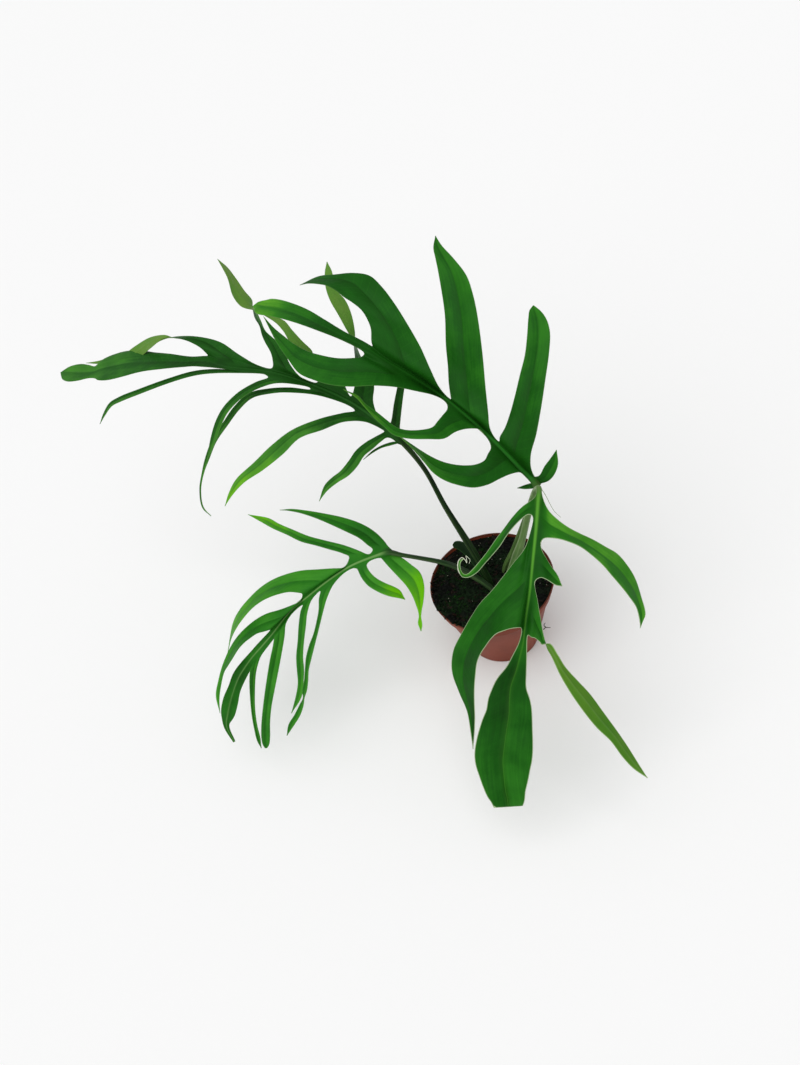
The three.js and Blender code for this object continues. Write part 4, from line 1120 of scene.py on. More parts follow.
        waves = self._random.uniform(0, 2 * np.pi, 2)
        turns = 2 * np.pi * at[:, None] / self._random.uniform(*self.wave_length)
        wave = np.where(c > 0, np.sin(turns + waves[0]), np.sin(self.wave_shift * turns + waves[1]))
        cup += grown_in * self.waviness * np.minimum(half, self.broad)[:, None] * wave * np.abs(c) ** 3
        points += self._towards_eye(points, normal, cup)
        across = c * half[:, None]
        skin = self._skin(c, half[:, None])
        vein = np.exp(-((across / self.vein_half) ** 2)) * np.sqrt(np.clip(1 - at / length, 0, 1))[:, None]
        share = (at / length)[:, None]
        # The lightness is set lobe by lobe; besides the green's own change it carries painted light where a
        # lobe catches it.
        light = lobe.light[0] + (lobe.light[1] - lobe.light[0]) * share ** self.light_bend
        light = wing_light + (light - wing_light) * grown_in
        whole = np.ones_like(c)
        reach = min(self.settle_reach, 0.35 * length, 0.5 * float(half[0]))
        free = (1 - smooth(at / reach))[:, None] * whole
        sheet.facts[0][foot, 2:5] = np.stack([whole[0], across[0], 0 * whole[0]], axis=1)
        facts = np.stack(
            [
                np.maximum(skin - self.groove * vein, Sheet.EDGE), skin + self.keel * vein, free,
                across, at[:, None] * whole, grown_in * whole, 0 * whole, light * whole, 0 * whole,
            ],
            axis=-1,
        )
        grown = sheet.add_points(points[1:], facts[1:])
        sheet.add_faces(np.vstack([foot[None], grown]), flip=way > 0)


def add_node(
    tree: Tree, kind: str, values: dict | None = None, out: int | str = 0, **settings
) -> Socket | None:
    """Adds a shader node.

    Args:
        tree: The node tree.
        kind: The node's type, without its ShaderNode prefix.
        values: What each input gets, by its name or number: a value, or the output that it is linked from. A
            MapRange takes 0: the value, 1 and 2: its range, 3 and 4: the range that it is brought to.
        out: Which output to return, by its name or number.
        **settings: The node's properties; "ramp" gives a colour ramp its stops.

    Returns:
        The output, where the node has any.
    """
    made = tree.nodes.new("ShaderNode" + kind)
    stops = settings.pop("ramp", ())
    for title, value in settings.items():
        setattr(made, title, value)
    for number, (place, colour) in enumerate(stops):
        elements = made.color_ramp.elements
        stop = elements[number] if number < len(elements) else elements.new(place)
        stop.position, stop.color = place, colour
    for key, value in (values or {}).items():
        if isinstance(value, Socket):
            tree.links.new(value, made.inputs[key])
        else:
            made.inputs[key].default_value = value
    return made.outputs[out] if made.outputs else None


def start_material(name: str) -> tuple[bpy.types.Material, Tree]:
    """Makes an empty node material.

    Args:
        name: The material's name.

    Returns:
        The material and its node tree.
    """
    material = bpy.data.materials.new(name)
    material.use_nodes = True
    material.node_tree.nodes.clear()
    return material, material.node_tree


def finish_material(tree: Tree, values: dict) -> None:
    """Ends a material with its shader.

    Args:
        tree: The node tree.
        values: What each input of the shader gets.
    """
    add_node(tree, "OutputMaterial", {0: add_node(tree, "BsdfPrincipled", values)})


def lay_colours(tree: Tree, colour: Socket | tuple[float, ...], layers: tuple) -> Socket:
    """Lays colours over each other.

    Args:
        tree: The node tree.
        colour: The colour to start with.
        layers: For each layer, how much of it shows and its colour.

    Returns:
        The colour with the layers on it.
    """
    for amount, paint in layers:
        colour = add_node(tree, "Mix", {0: amount, 6: colour, 7: paint}, data_type="RGBA", out=2)
    return colour


@dataclass(frozen=True)
class LivingLeaf:
    """Living aroid leaf, grown: a satin cuticle over firm green flesh.

    The eye gets a soft sheen with no mirror, a shallow crease along each lobe, an olive underside and a thin
    pale margin.
    Its colour holds painted shade: a darker line along each lobe's midvein for the shade in its crease, and one
    half of each lobe darker next to its midvein. Lobes turn lighter and more lime towards their tips, set lobe
    by lobe, which is partly the green's own change and partly painted light. Lengths are millimetres.

    Attributes:
        greens: The upper face from its deepest green to its lime tips.
        margin: The thin edge of the blade, and how much it shows.
        rib_reach: How far along the blade the midrib keeps its own colour.
        rib_left: How much of that colour is left past there.
        under_midvein: How much paler the midvein is on the underside.
        painted_half_shade: How much painted shade darkens one half of each lobe next to its midvein.
        painted_shade_reach: How far from the midvein that painted shade goes.
        vein_slant: How far a side vein runs along the lobe for each millimetre that it runs out.
        streak_size: Width and length of the streaks along a lobe, wider than real ones so that they show.
    """

    name: str
    greens: tuple[str, str, str, str]
    under: str
    rib: str
    stalk: str
    margin: tuple[str, float] = ("#93b068", 0.3)
    rib_reach: float = 150.0
    rib_left: float = 0.25
    margin_width: float = 0.55
    midvein_half: float = 0.95
    # How much the midvein line is darkened: painted shade in the crease along it.
    midvein_crease_shade: float = 0.3
    under_midvein: float = 0.05
    painted_half_shade: float = 0.2
    painted_shade_reach: float = 9.0
    vein_gap: float = 7.5
    vein_slant: float = 0.85
    vein_show: float = 0.12
    vein_relief: float = 0.12
    cloud_size: float = 22.0
    cloud_weight: float = 0.55
    streak_size: Pair = (1.6, 36.0)
    streak_weight: float = 0.28
    roughness: Pair = (0.38, 0.55)
    specular: float = 0.07

    GREEN_STOPS: ClassVar[tuple[float, ...]] = (0.22, 0.6, 0.95, 1.28)
    GREEN_END: ClassVar[float] = 1.5

    def make(self) -> bpy.types.Material:
        """Makes the material.

        Returns:
            The material.
        """
        material, tree = start_material(self.name)
        blade, tone, face = (
            add_node(tree, "SeparateXYZ", {0: add_node(tree, "Attribute", out="Vector", attribute_name=told)})
            for told in ("blade", "tone", "face")
        )
        across, along, margin = blade.node.outputs
        rib, light, stalk = tone.node.outputs
        side, veined, _ = face.node.outputs
        place = add_node(tree, "TexCoord", out="Object")
        slow = {"Vector": place, "Scale": 1 / (self.cloud_size * MM), "Detail": 4.0}
        cloud = add_node(tree, "TexNoise", slow, out="Fac")
        streak = self._streak(tree, across, along)
        away = add_node(tree, "Math", {0: across}, operation="ABSOLUTE")
        midvein = add_node(tree, "MapRange", {0: away, 1: self.midvein_half, 2: 0.1, 3: 0.0, 4: 1.0})
        midvein = add_node(tree, "Math", {0: midvein, 1: veined}, operation="MULTIPLY")
        vein = self._lateral_veins(tree, away, along, veined)
        value = self._value(tree, light, cloud, streak, across, veined)
        above = self._above(tree, value, vein, midvein)
        below = self._below(tree, cloud, midvein)
        turned = add_node(tree, "MapRange", {0: side, 1: 0.2, 2: -0.2, 3: 0.0, 4: 1.0})
        fade = {0: along, 1: 0.4 * self.rib_reach, 2: self.rib_reach, 3: 1.0, 4: self.rib_left}
        ribbed = add_node(tree, "Math", {0: rib, 1: add_node(tree, "MapRange", fade)}, operation="MULTIPLY")
        colour = lay_colours(tree, above, (
            (ribbed, linear(self.rib)), (turned, below), (stalk, self._stalk(tree, cloud, streak)),
            (self._edge(tree, margin, stalk), linear(self.margin[0])),
        ))
        height = add_node(tree, "Math", {0: vein, 1: midvein}, operation="ADD")
        height = add_node(tree, "Math", {0: streak, 1: 0.5, 2: height}, operation="MULTIPLY_ADD")
        pressed = {"Strength": 0.6, "Distance": self.vein_relief * MM, "Height": height}
        low, high = self.roughness
        finish_material(tree, {
            "Base Color": colour,
            "Roughness": add_node(tree, "MapRange", {0: cloud, 1: 0.3, 2: 0.7, 3: low, 4: high}),
            "Normal": add_node(tree, "Bump", pressed, invert=True),
            "Specular IOR Level": self.specular,
        })
        return material

    def _streak(self, tree: Tree, across: Socket, along: Socket) -> Socket:
        """Draws faint streaks that run along each lobe.

        Args:
            tree: The node tree.
            across: The place across the lobe.
            along: The place along the lobe.

        Returns:
            The streaks, as a value round 0.5.
        """
        width, length = self.streak_size
        fine = add_node(tree, "Math", {0: across, 1: 1 / width}, operation="MULTIPLY")
        slow = add_node(tree, "Math", {0: along, 1: 1 / length}, operation="MULTIPLY")
        place = add_node(tree, "CombineXYZ", {0: fine, 1: slow})
        return add_node(tree, "TexNoise", {"Vector": place, "Scale": 1.0, "Detail": 3.0}, out="Fac")

    def _lateral_veins(self, tree: Tree, away: Socket, along: Socket, veined: Socket) -> Socket:
        """Draws side veins that leave the midvein at a slant.

        Args:
            tree: The node tree.
            away: The distance from the midvein.
            along: The place along the lobe.
            veined: How veined the blade is.

        Returns:
            The veins, from 0 to 1.
        """
        slant = add_node(tree, "Math", {0: away, 1: -self.vein_slant, 2: along}, operation="MULTIPLY_ADD")
        turn = add_node(tree, "Math", {0: slant, 1: self.vein_gap}, operation="DIVIDE")
        saw = add_node(tree, "Math", {0: turn, 1: 0.5}, operation="PINGPONG")
        line = add_node(tree, "MapRange", {0: saw, 1: 0.42, 2: 0.5, 3: 0.0, 4: 1.0})
        return add_node(tree, "Math", {0: line, 1: veined}, operation="MULTIPLY")

    def _value(
        self,
        tree: Tree,
        light: Socket,
        cloud: Socket,
        streak: Socket,
        across: Socket,
        veined: Socket,
    ) -> Socket:
        """Works out how light the green of the upper face is, with painted shade darkening one half of each
        lobe at its midvein.

        Args:
            tree: The node tree.
            light: How light the lobe is there.
            cloud: The slow changes of green.
            streak: The streaks.
            across: The place across the lobe.
            veined: How veined the blade is.

        Returns:
            The value on the scale of GREEN_STOPS.
        """
        value = add_node(tree, "Math", {0: cloud, 1: self.cloud_weight, 2: light}, operation="MULTIPLY_ADD")
        streaky = add_node(tree, "Math", {0: streak, 1: veined}, operation="MULTIPLY")
        streaky = {0: streaky, 1: self.streak_weight, 2: value}
        value = add_node(tree, "Math", streaky, operation="MULTIPLY_ADD")
        # Painted shade: one half of each lobe is darkened next to its midvein, standing in for the shade of the
        # lobe's curve.
        half = add_node(tree, "MapRange", {0: across, 1: -0.2, 2: 0.7, 3: 0.0, 4: 1.0})
        near = add_node(tree, "MapRange", {0: across, 1: 0.5, 2: self.painted_shade_reach, 3: 1.0, 4: 0.15})
        half_darkening = add_node(tree, "Math", {0: half, 1: near}, operation="MULTIPLY")
        half_darkening = add_node(tree, "Math", {0: half_darkening, 1: veined}, operation="MULTIPLY")
        return add_node(tree, "Math", {0: half_darkening, 1: -self.painted_half_shade, 2: value}, operation="MULTIPLY_ADD")

    def _above(self, tree: Tree, value: Socket, vein: Socket, midvein: Socket) -> Socket:
        """Colours the upper face.

        Args:
            tree: The node tree.
            value: How light its green is.
            vein: The side veins.
            midvein: The midveins.

        Returns:
            The colour.
        """
        ramp = [(stop / self.GREEN_END, linear(green)) for stop, green in zip(self.GREEN_STOPS, self.greens)]
        spread = add_node(tree, "Math", {0: value, 1: 1 / self.GREEN_END}, operation="MULTIPLY")
        greens = add_node(tree, "ValToRGB", {0: spread}, ramp=ramp)
        paler = add_node(tree, "Math", {0: vein, 1: self.vein_show}, operation="MULTIPLY")
        # Painted shade: the midvein line is laid in the deepest green for the shade in the crease along it.
        crease_darkening = add_node(tree, "Math", {0: midvein, 1: self.midvein_crease_shade}, operation="MULTIPLY")
        return lay_colours(tree, greens, ((paler, linear(self.greens[2])), (crease_darkening, linear(self.greens[0]))))

    def _below(self, tree: Tree, cloud: Socket, midvein: Socket) -> Socket:
        """Colours the underside.

        Args:
            tree: The node tree.
            cloud: The slow changes of green.
            midvein: The midveins.

        Returns:
            The colour.
        """
        greener = add_node(tree, "MapRange", {0: cloud, 1: 0.3, 2: 0.7, 3: 0.0, 4: 0.5})
        paler = add_node(tree, "Math", {0: midvein, 1: self.under_midvein}, operation="MULTIPLY")
        layers = ((greener, linear(self.greens[2])), (paler, linear(self.margin[0])))
        return lay_colours(tree, linear(self.under), layers)

    def _stalk(self, tree: Tree, cloud: Socket, streak: Socket) -> Socket:
        """Colours the petiole, with faint streaks along it.

        Args:
            tree: The node tree.
            cloud: The slow changes of green.
            streak: The streaks.

        Returns:
            The colour.
        """
        darker = add_node(tree, "MapRange", {0: cloud, 1: 0.45, 2: 0.7, 3: 0.0, 4: 0.4})
        paler = add_node(tree, "MapRange", {0: streak, 1: 0.45, 2: 0.8, 3: 0.0, 4: 0.16})
        layers = ((darker, linear(self.greens[0])), (paler, linear(self.margin[0])))
        return lay_colours(tree, linear(self.stalk), layers)

    def _edge(self, tree: Tree, margin: Socket, stalk: Socket) -> Socket:
        """Finds the thin pale edge of the blade, fainter on the petiole.

        Args:
            tree: The node tree.
            margin: The distance from the margin.
            stalk: How much it is petiole.

        Returns:
            How much the edge shows.
        """
        near = {0: margin, 1: self.margin_width, 2: 0.1, 3: 0.0, 4: self.margin[1]}
        edge = add_node(tree, "MapRange", near)
        fade = add_node(tree, "MapRange", {0: stalk, 1: 0.0, 2: 1.0, 3: 1.0, 4: 0.35})
        return add_node(tree, "Math", {0: edge, 1: fade}, operation="MULTIPLY")


@dataclass(frozen=True)
class MouldedPolypropylene:
    """Polypropylene, injection moulded and unpainted.

    The eye gets an even terracotta with a low broad sheen, slight clouding where the melt cooled, a dusting of
    dried soil towards the rim, and a rim that is darker from just above the soil up. Lengths are millimetres.

    Attributes:
        name: The material's name.
        colour: The colour of the plastic.
        cooled: Its deeper colour where the melt cooled first.
        dust: The colour of dried soil.
        dust_from: The height where the dusting begins.
        dust_to: The height where it is full.
        rim_dark_from: The height where the rim starts to darken.
        rim_dark_to: The height where it is full.
        rim_darkness: How much the rim is darkened, in the colour of dried soil.
        cloud_size: The size of the clouding.
        grain: The size of the fine grain from the mould.
        roughness: The roughness of the clean plastic.
        specular: The strength of the sheen.
    """

    name: str = "moulded_polypropylene"
    colour: str = "#823b27"
    cooled: str = "#73321f"
    dust: str = "#3f2318"
    dust_from: float = 78.0
    dust_to: float = 88.0
    rim_dark_from: float = 84.6
    rim_dark_to: float = 86.2
    rim_darkness: float = 0.62
    cloud_size: float = 30.0
    grain: float = 0.9
    roughness: float = 0.5
    specular: float = 0.14

    def make(self) -> bpy.types.Material:
        """Makes the material.

        Returns:
            The material.
        """
        material, tree = start_material(self.name)
        place = add_node(tree, "TexCoord", out="Object")
        cloud, grain = (
            add_node(tree, "TexNoise", {"Vector": place, "Scale": 1 / (size * MM), "Detail": fine}, out="Fac")
            for size, fine in ((self.cloud_size, 3.0), (self.grain, 2.0))
        )
        height = add_node(tree, "SeparateXYZ", {0: place}, out=2)
        # The rim is darker from just above the soil up; the dusting is specks of dried soil towards the rim.
        dusting, rim_darkness = (
            add_node(tree, "MapRange", {0: height, 1: start * MM, 2: stop * MM, 3: 0.0, 4: most})
            for start, stop, most in (
                (self.dust_from, self.dust_to, 1.0), (self.rim_dark_from, self.rim_dark_to, self.rim_darkness),
            )
        )
        specks = add_node(tree, "MapRange", {0: grain, 1: 0.5, 2: 0.68, 3: 0.0, 4: 0.5})
        dusty = add_node(tree, "Math", {0: dusting, 1: specks}, operation="MULTIPLY")
        ramp = [(0.35, linear(self.cooled)), (0.62, linear(self.colour))]
        clean = add_node(tree, "ValToRGB", {0: cloud}, ramp=ramp)
        rougher = {0: dusty, 1: 0.4, 2: self.roughness}
        finish_material(tree, {
            "Base Color": lay_colours(tree, clean, ((dusty, linear(self.dust)), (rim_darkness, linear(self.dust)))),
            "Roughness": add_node(tree, "Math", rougher, operation="MULTIPLY_ADD"),
            "Normal": add_node(tree, "Bump", {"Strength": 0.15, "Distance": 0.1 * MM, "Height": grain}),
            "Specular IOR Level": self.specular,
        })
        return material


@dataclass(frozen=True)
class DampLitter:
    """A loose natural stuff of the potting mix: peat, bark, moss or grit.

    The eye gets nearly black damp crumb, with a glint where water sits, and green where moss has begun.
    Lengths are millimetres.

    Attributes:
        name: The material's name.
        dark: The colour of most of it.
        pale: The colour of its lighter bits.
        tint: What grows on it in patches, and how much.
        patch_size: The size of those patches.
        crumb_size: The size of the crumbs.
        roughness: The least, where it is wet, and the most.
        specular: The strength of the glint.
    """

    name: str
    dark: str
    pale: str
    tint: tuple[str, float] = ("#1d3a12", 0.0)
    patch_size: float = 26.0
    crumb_size: float = 2.2
    roughness: Pair = (0.45, 0.95)
    specular: float = 0.1

    def make(self) -> bpy.types.Material:
        """Makes the material.

        Returns:
            The material.
        """
        material, tree = start_material(self.name)
        place = add_node(tree, "TexCoord", out="Object")
        patch, crumb = (
            add_node(tree, "TexNoise", {"Vector": place, "Scale": 1 / (size * MM), "Detail": 5.0}, out="Fac")
            for size in (self.patch_size, self.crumb_size)
        )
        ramp = [(0.42, linear(self.dark)), (0.72, linear(self.pale))]
        ground = add_node(tree, "ValToRGB", {0: crumb}, ramp=ramp)
        mossy = add_node(tree, "MapRange", {0: patch, 1: 0.45, 2: 0.6, 3: 0.0, 4: self.tint[1]})
        flecked = add_node(tree, "MapRange", {0: crumb, 1: 0.35, 2: 0.6, 3: 0.2, 4: 1.0})
        mossy = add_node(tree, "Math", {0: mossy, 1: flecked}, operation="MULTIPLY")
        low, high = self.roughness
        finish_material(tree, {
            "Base Color": lay_colours(tree, ground, ((mossy, linear(self.tint[0])),)),
            "Roughness": add_node(tree, "MapRange", {0: crumb, 1: 0.4, 2: 0.6, 3: high, 4: low}),
            "Normal": add_node(tree, "Bump", {"Strength": 0.8, "Distance": 0.6 * MM, "Height": crumb}),
            "Specular IOR Level": self.specular,
        })
        return material


def dress(piece: Piece, material: bpy.types.Material, slot: str, *nodes: str) -> None:
    """Gives a piece its material and body, hides the nodes that it stands for, and reports it.

    Args:
        piece: The piece.
        material: Its material.
        slot: The record's slot that it takes its finish from. Not used.
        *nodes: The nodes that it stands for.
    """
    piece.data.materials.clear()
    piece.data.materials.append(material)
    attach(piece, ROOT)
    if nodes:
        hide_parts(*nodes)
    log.info("%s: %d faces", piece.name, len(piece.data.polygons))


def begin_piece() -> None:
    """Leaves edit mode and deselects everything, before a new primitive."""
    if bpy.context.mode != "OBJECT":
        bpy.ops.object.mode_set(mode="OBJECT")
    bpy.ops.object.select_all(action="DESELECT")


@dataclass
class NurseryPot:
    """The tapered nursery pot with its stepped rim band and drain holes, in millimetres."""

    rim_radius: float = 60.0
    height: float = 87.0
    foot_radius: float = 36.0
    band_height: float = 14.0
    band_stand: float = 2.2
    wall: float = 1.4
    floor: float = 2.2
    soft: float = 0.7
    sides: int = 128
    holes: int = 8
    hole_radius: float = 4.0
    hole_circle: float = 24.0

    def build(self) -> None:
        """Models and dresses the pot."""
        pot = self._shell()
        self._drill(pot)
        bpy.ops.object.select_all(action="DESELECT")
        pot.select_set(True)
        bpy.context.view_layer.objects.active = pot
        bpy.ops.object.shade_smooth_by_angle(angle=math.radians(40))
        dress(pot, MouldedPolypropylene().make(), "pot", "pot")

    def _outer(self, z: float) -> float:
        """The outer radius of the wall at a height, under the band."""
        return self.foot_radius + (self.rim_radius - self.band_stand - self.foot_radius) * z / self.height

    def inside(self, z: float) -> float:
        """The radius inside the wall at a height, wider within the band."""
        stand = self.band_stand if z > self.height - self.band_height else 0.0
        return self._outer(z) + stand - self.wall

    def _round(self, centre: Pair, start: float, stop: float, steps: int = 4) -> list:
        """Points of a softened edge, round a centre, from one angle in degrees to another."""
        turns = np.radians(np.linspace(start, stop, steps + 1))
        return [(centre[0] + self.soft * math.cos(t), centre[1] + self.soft * math.sin(t)) for t in turns]

    def _profile(self) -> list[Pair]:
        """Draws the pot's section.

        Returns:
            Radius and height from the underside, up the outside, over the rim and down the inside.
        """
        soft, wall, top = self.soft, self.wall, self.height
        foot = self.height - self.band_height
        band = self._outer(foot) + self.band_stand
        rim = self.rim_radius
        return [
            *self._round((self.foot_radius - soft, soft), -90, 0),
            (self._outer(foot - soft), foot - soft), (self._outer(foot) + soft * 0.4, foot),
            *self._round((band - soft, foot + soft), -80, 0),
            *self._round((rim - soft, top - soft), 0, 180, 8),
            (rim - wall, top - 2 * soft), (band - wall, foot + wall),
            (self._outer(foot) - wall, foot), (self._outer(self.floor + soft) - wall, self.floor + soft),
            (self._outer(self.floor) - wall - soft, self.floor),
        ]

    def _shell(self) -> Piece:
        """Extrudes a disc from the underside along the profile.

        Returns:
            The pot's object, without its holes.
        """
        profile = self._profile()
        begin_piece()
        bpy.ops.mesh.primitive_circle_add(
            vertices=self.sides, radius=profile[0][0] * MM, fill_type="NGON", location=(0, 0, 0)
        )
        pot = bpy.context.active_object
        pot.name = "nursery_pot"
        bpy.ops.object.mode_set(mode="EDIT")
        bpy.ops.mesh.select_all(action="SELECT")
        for (radius, z), (next_radius, next_z) in zip(profile[:-1], profile[1:]):
            bpy.ops.mesh.extrude_region_move(TRANSFORM_OT_translate={"value": (0, 0, (next_z - z) * MM)})
            share = next_radius / radius
            bpy.ops.transform.resize(value=(share, share, 1), center_override=(0, 0, 0))
        bpy.ops.mesh.select_all(action="SELECT")
        bpy.ops.mesh.normals_make_consistent(inside=False)
        bpy.ops.object.mode_set(mode="OBJECT")
        return pot

    def _drill(self, pot: Piece) -> None:
        """Cuts the drain holes through the floor.

        Args:
            pot: The pot's object.
        """
        for k in range(self.holes):
            turn = 2 * math.pi * (k + 0.5) / self.holes
            place = (self.hole_circle * MM * math.cos(turn), self.hole_circle * MM * math.sin(turn), 0)
            begin_piece()
            bpy.ops.mesh.primitive_cylinder_add(
                vertices=32, radius=self.hole_radius * MM, depth=4 * self.floor * MM, location=place
            )
            drill = bpy.context.active_object
            cut = pot.modifiers.new("drain", "BOOLEAN")
            cut.operation, cut.object, cut.solver = "DIFFERENCE", drill, "EXACT"
            bpy.context.view_layer.objects.active = pot
            bpy.ops.object.modifier_apply(modifier=cut.name)
            bpy.data.objects.remove(drill, do_unlink=True)


@dataclass
class PottingSoil:
    """The soil in the pot: a lumpy top with crumbs, bark, grit and young moss on it. Lengths are millimetres.

    Attributes:
        edge_drop: How much lower it is at the wall.
        spill_turn: Where they lie, in degrees round from the right, and how far they spread.
        spill_inset: The least and the most that they lie inside the rim's edge.
        spill_sunk: The least and the most that their middle lies below the rim's top.
        tufts: For how many places moss is tried.
        moss_lean: How far a leaf leans over, least and most.
        bare_from: How far to the left moss grows outside its patches as well.
    """

    pot: NurseryPot
    level: float = 84.9
    lump: float = 1.9
    lump_size: float = 9.0
    broad_size: float = 22.0
    edge_drop: float = 0.3
    gap: float = 0.3
    floor: float = 3.0
    cell: float = 1.3
    spilled: int = 260
    spill_turn: Pair = (197.0, 24.0)
    spill_inset: Pair = (0.6, 6.5)
    spill_sunk: Pair = (0.2, 1.2)
    tufts: int = 420
    moss_size: float = 16.0
    moss_leaves: int = 9
    moss_lean: Pair = (0.2, 1.1)
    moss_long: Pair = (1.2, 2.8)
    moss_half: float = 0.28
    bare_from: float = -30.0
    seed: int = 11

    def build(self) -> None:
        """Models and dresses the soil and what lies on it."""
        self._random = np.random.default_rng(self.seed)
        ground = DampLitter("damp_peat", "#020302", "#0a0c07", ("#0a2106", 0.8)).make()
        dress(self._ground(), ground, "soil", "soil")
        crumbs = DampLitter("peat_crumbs", "#030403", "#11120b", ("#0d2908", 0.75)).make()
        dress(self._scatter("soil_crumbs", 1500, (0.5, 1.7), (1.0, 0.8, 0.7)), crumbs, "soil")
        spill = [self._spill() for _ in range(self.spilled)]
        dress(self._lumps("spilled_peat", np.array(spill), (0.7, 2.1), (1.1, 0.9, 0.7)), crumbs, "soil")
        bark = DampLitter("shredded_bark", "#0a0705", "#2c1e14", crumb_size=1.2).make()
        dress(self._scatter("bark_chips", 150, (1.2, 3.2), (1.6, 0.7, 0.28)), bark, "soil")
        grit = DampLitter("pale_grit", "#7d7c6d", "#b9b8a6", roughness=(0.6, 0.8)).make()
        dress(self._scatter("pale_grit", 42, (0.35, 0.8), (1.0, 0.9, 0.8)), grit, "soil")
        moss = DampLitter("young_moss", "#0a2406", "#1d4a10", ("#286016", 0.5), crumb_size=1.0).make()
        dress(self._moss(), moss, "soil")

    @property
    def radius(self) -> float:
        """The radius of the soil's top."""
        return self.pot.inside(self.level) - 2 * self.gap

    def _height(self, x: float, y: float) -> float:
        """Works out the height of the soil's top.

        Args:
            x: The place across.
            y: The place away from the viewer.

        Returns:
            The height there.
        """
        lumps = noise.fractal(Vector((x / self.lump_size, y / self.lump_size, 0.3)), 0.8, 2.1, 5)
        broad = noise.noise(Vector((x / self.broad_size, y / self.broad_size, 4.0)))
        away = math.hypot(x, y) / self.radius
        edge = self.edge_drop * max(0.0, away - 0.88) / 0.12
        return self.level + self.lump * (0.55 * lumps + 0.7 * broad) - edge

    def _ground(self) -> Piece:
        """Models the body of the soil: a fine grid, cut to a disc, with its walls and underside.

        Returns:
            The soil's object.
        """
        begin_piece()
        count = round(2 * self.radius / self.cell)
        size, place = 2 * self.radius * MM, (0, 0, self.level * MM)
        bpy.ops.mesh.primitive_grid_add(x_subdivisions=count, y_subdivisions=count, size=size, location=place)
        ground = bpy.context.active_object
        ground.name = "potting_soil"
        bpy.ops.object.transform_apply(location=True, rotation=True, scale=True)
        for vertex in ground.data.vertices:
            vertex.select = math.hypot(vertex.co.x, vertex.co.y) > (self.radius - 0.45 * self.cell) * MM
        for polygon in ground.data.polygons:
            polygon.select = any(ground.data.vertices[v].select for v in polygon.vertices)
        for edge in ground.data.edges:
            edge.select = any(ground.data.vertices[v].select for v in edge.vertices)
        bpy.ops.object.mode_set(mode="EDIT")
        bpy.ops.mesh.select_mode(type="VERT")
        bpy.ops.mesh.delete(type="VERT")
        bpy.ops.mesh.select_all(action="SELECT")
        bpy.ops.mesh.region_to_loop()
        bpy.ops.object.mode_set(mode="OBJECT")
        for vertex in ground.data.vertices:
            if vertex.select:
                stretch = self.radius * MM / math.hypot(vertex.co.x, vertex.co.y)
                vertex.co.x *= stretch
                vertex.co.y *= stretch
            vertex.co.z = self._height(vertex.co.x / MM, vertex.co.y / MM) * MM
        bpy.ops.object.mode_set(mode="EDIT")
        step = self.pot.height - self.pot.band_height
        for z in (step + self.pot.wall + self.gap, step, self.floor):
            radius = self.pot.inside(z) - self.gap
            bpy.ops.mesh.extrude_region_move()
            bpy.ops.object.mode_set(mode="OBJECT")
            for vertex in ground.data.vertices:
                if vertex.select:
                    shrink = radius * MM / math.hypot(vertex.co.x, vertex.co.y)
                    vertex.co = (vertex.co.x * shrink, vertex.co.y * shrink, z * MM)
            bpy.ops.object.mode_set(mode="EDIT")
        bpy.ops.mesh.edge_face_add()
        bpy.ops.mesh.select_all(action="SELECT")
        bpy.ops.mesh.normals_make_consistent(inside=False)
        bpy.ops.object.mode_set(mode="OBJECT")
        bpy.ops.object.shade_smooth_by_angle(angle=math.radians(50))
        return ground

    def _places(self, count: int, inset: float) -> Array:
        """Draws places on the soil's top.

        Args:
            count: How many to draw.
            inset: How far they keep from the pot's wall.

        Returns:
            A row of x, y and z for each.
        """
        away = (self.radius - inset) * np.sqrt(self._random.uniform(0, 1, count))
        turn = self._random.uniform(0, 2 * np.pi, count)
        x, y = away * np.cos(turn), away * np.sin(turn)
        return np.stack([x, y, [self._height(a, b) for a, b in zip(x, y)]], axis=1)

    def _scatter(
        self, name: str, count: int, sizes: Pair, shape: tuple[float, float, float]
    ) -> Piece:
        """Lays copies of one uneven lump all over the soil.

        Args:
            name: The piece's name.
            count: How many copies.
            sizes: The smallest and largest radius.
            shape: How long, broad and thick each is.

        Returns:
            The piece.
        """
        return self._lumps(name, self._places(count, self.gap), sizes, shape)

    def _spill(self) -> list[float]:
        """Draws a place for peat that has spilled on to the left of the rim.

        Returns:
            Its x, y and z.
        """
        turn = math.radians(self._random.normal(*self.spill_turn))
        away = self.pot.rim_radius - self._random.uniform(*self.spill_inset)
        height = self.pot.height - self._random.uniform(*self.spill_sunk)
        return [away * math.cos(turn), away * math.sin(turn), height]

    def _lumps(
        self,
        name: str,
        places: Array,
        sizes: Pair,
        shape: tuple[float, float, float],
    ) -> Piece:
        """Models one uneven lump and lays copies of it.

        Args:
            name: The piece's name.
            places: Where the copies lie.
            sizes: The smallest and largest radius.
            shape: How long, broad and thick each is.

        Returns:
            The piece.
        """
        begin_piece()
        bpy.ops.mesh.primitive_ico_sphere_add(subdivisions=1, radius=1.0)
        lump = bpy.context.active_object
        corners = np.array([v.co for v in lump.data.vertices])
        faces = np.array([p.vertices for p in lump.data.polygons])
        bpy.data.objects.remove(lump, do_unlink=True)
        points, polygons = [], []
        for number, place in enumerate(places):
            size = self._random.uniform(*sizes) * self._random.uniform(0.6, 1.0)
            uneven = corners * self._random.uniform(0.7, 1.25, (len(corners), 1)) * np.array(shape) * size
            turn = Matrix.Rotation(self._random.uniform(0, 2 * np.pi), 3, "Z")
            tip = Matrix.Rotation(self._random.normal(0, 0.5), 3, "X")
            points.append(uneven @ np.array(turn @ tip).T + place + [0, 0, 0.25 * size])
            polygons.append(faces + number * len(corners))
        return self._mesh(name, points, polygons)

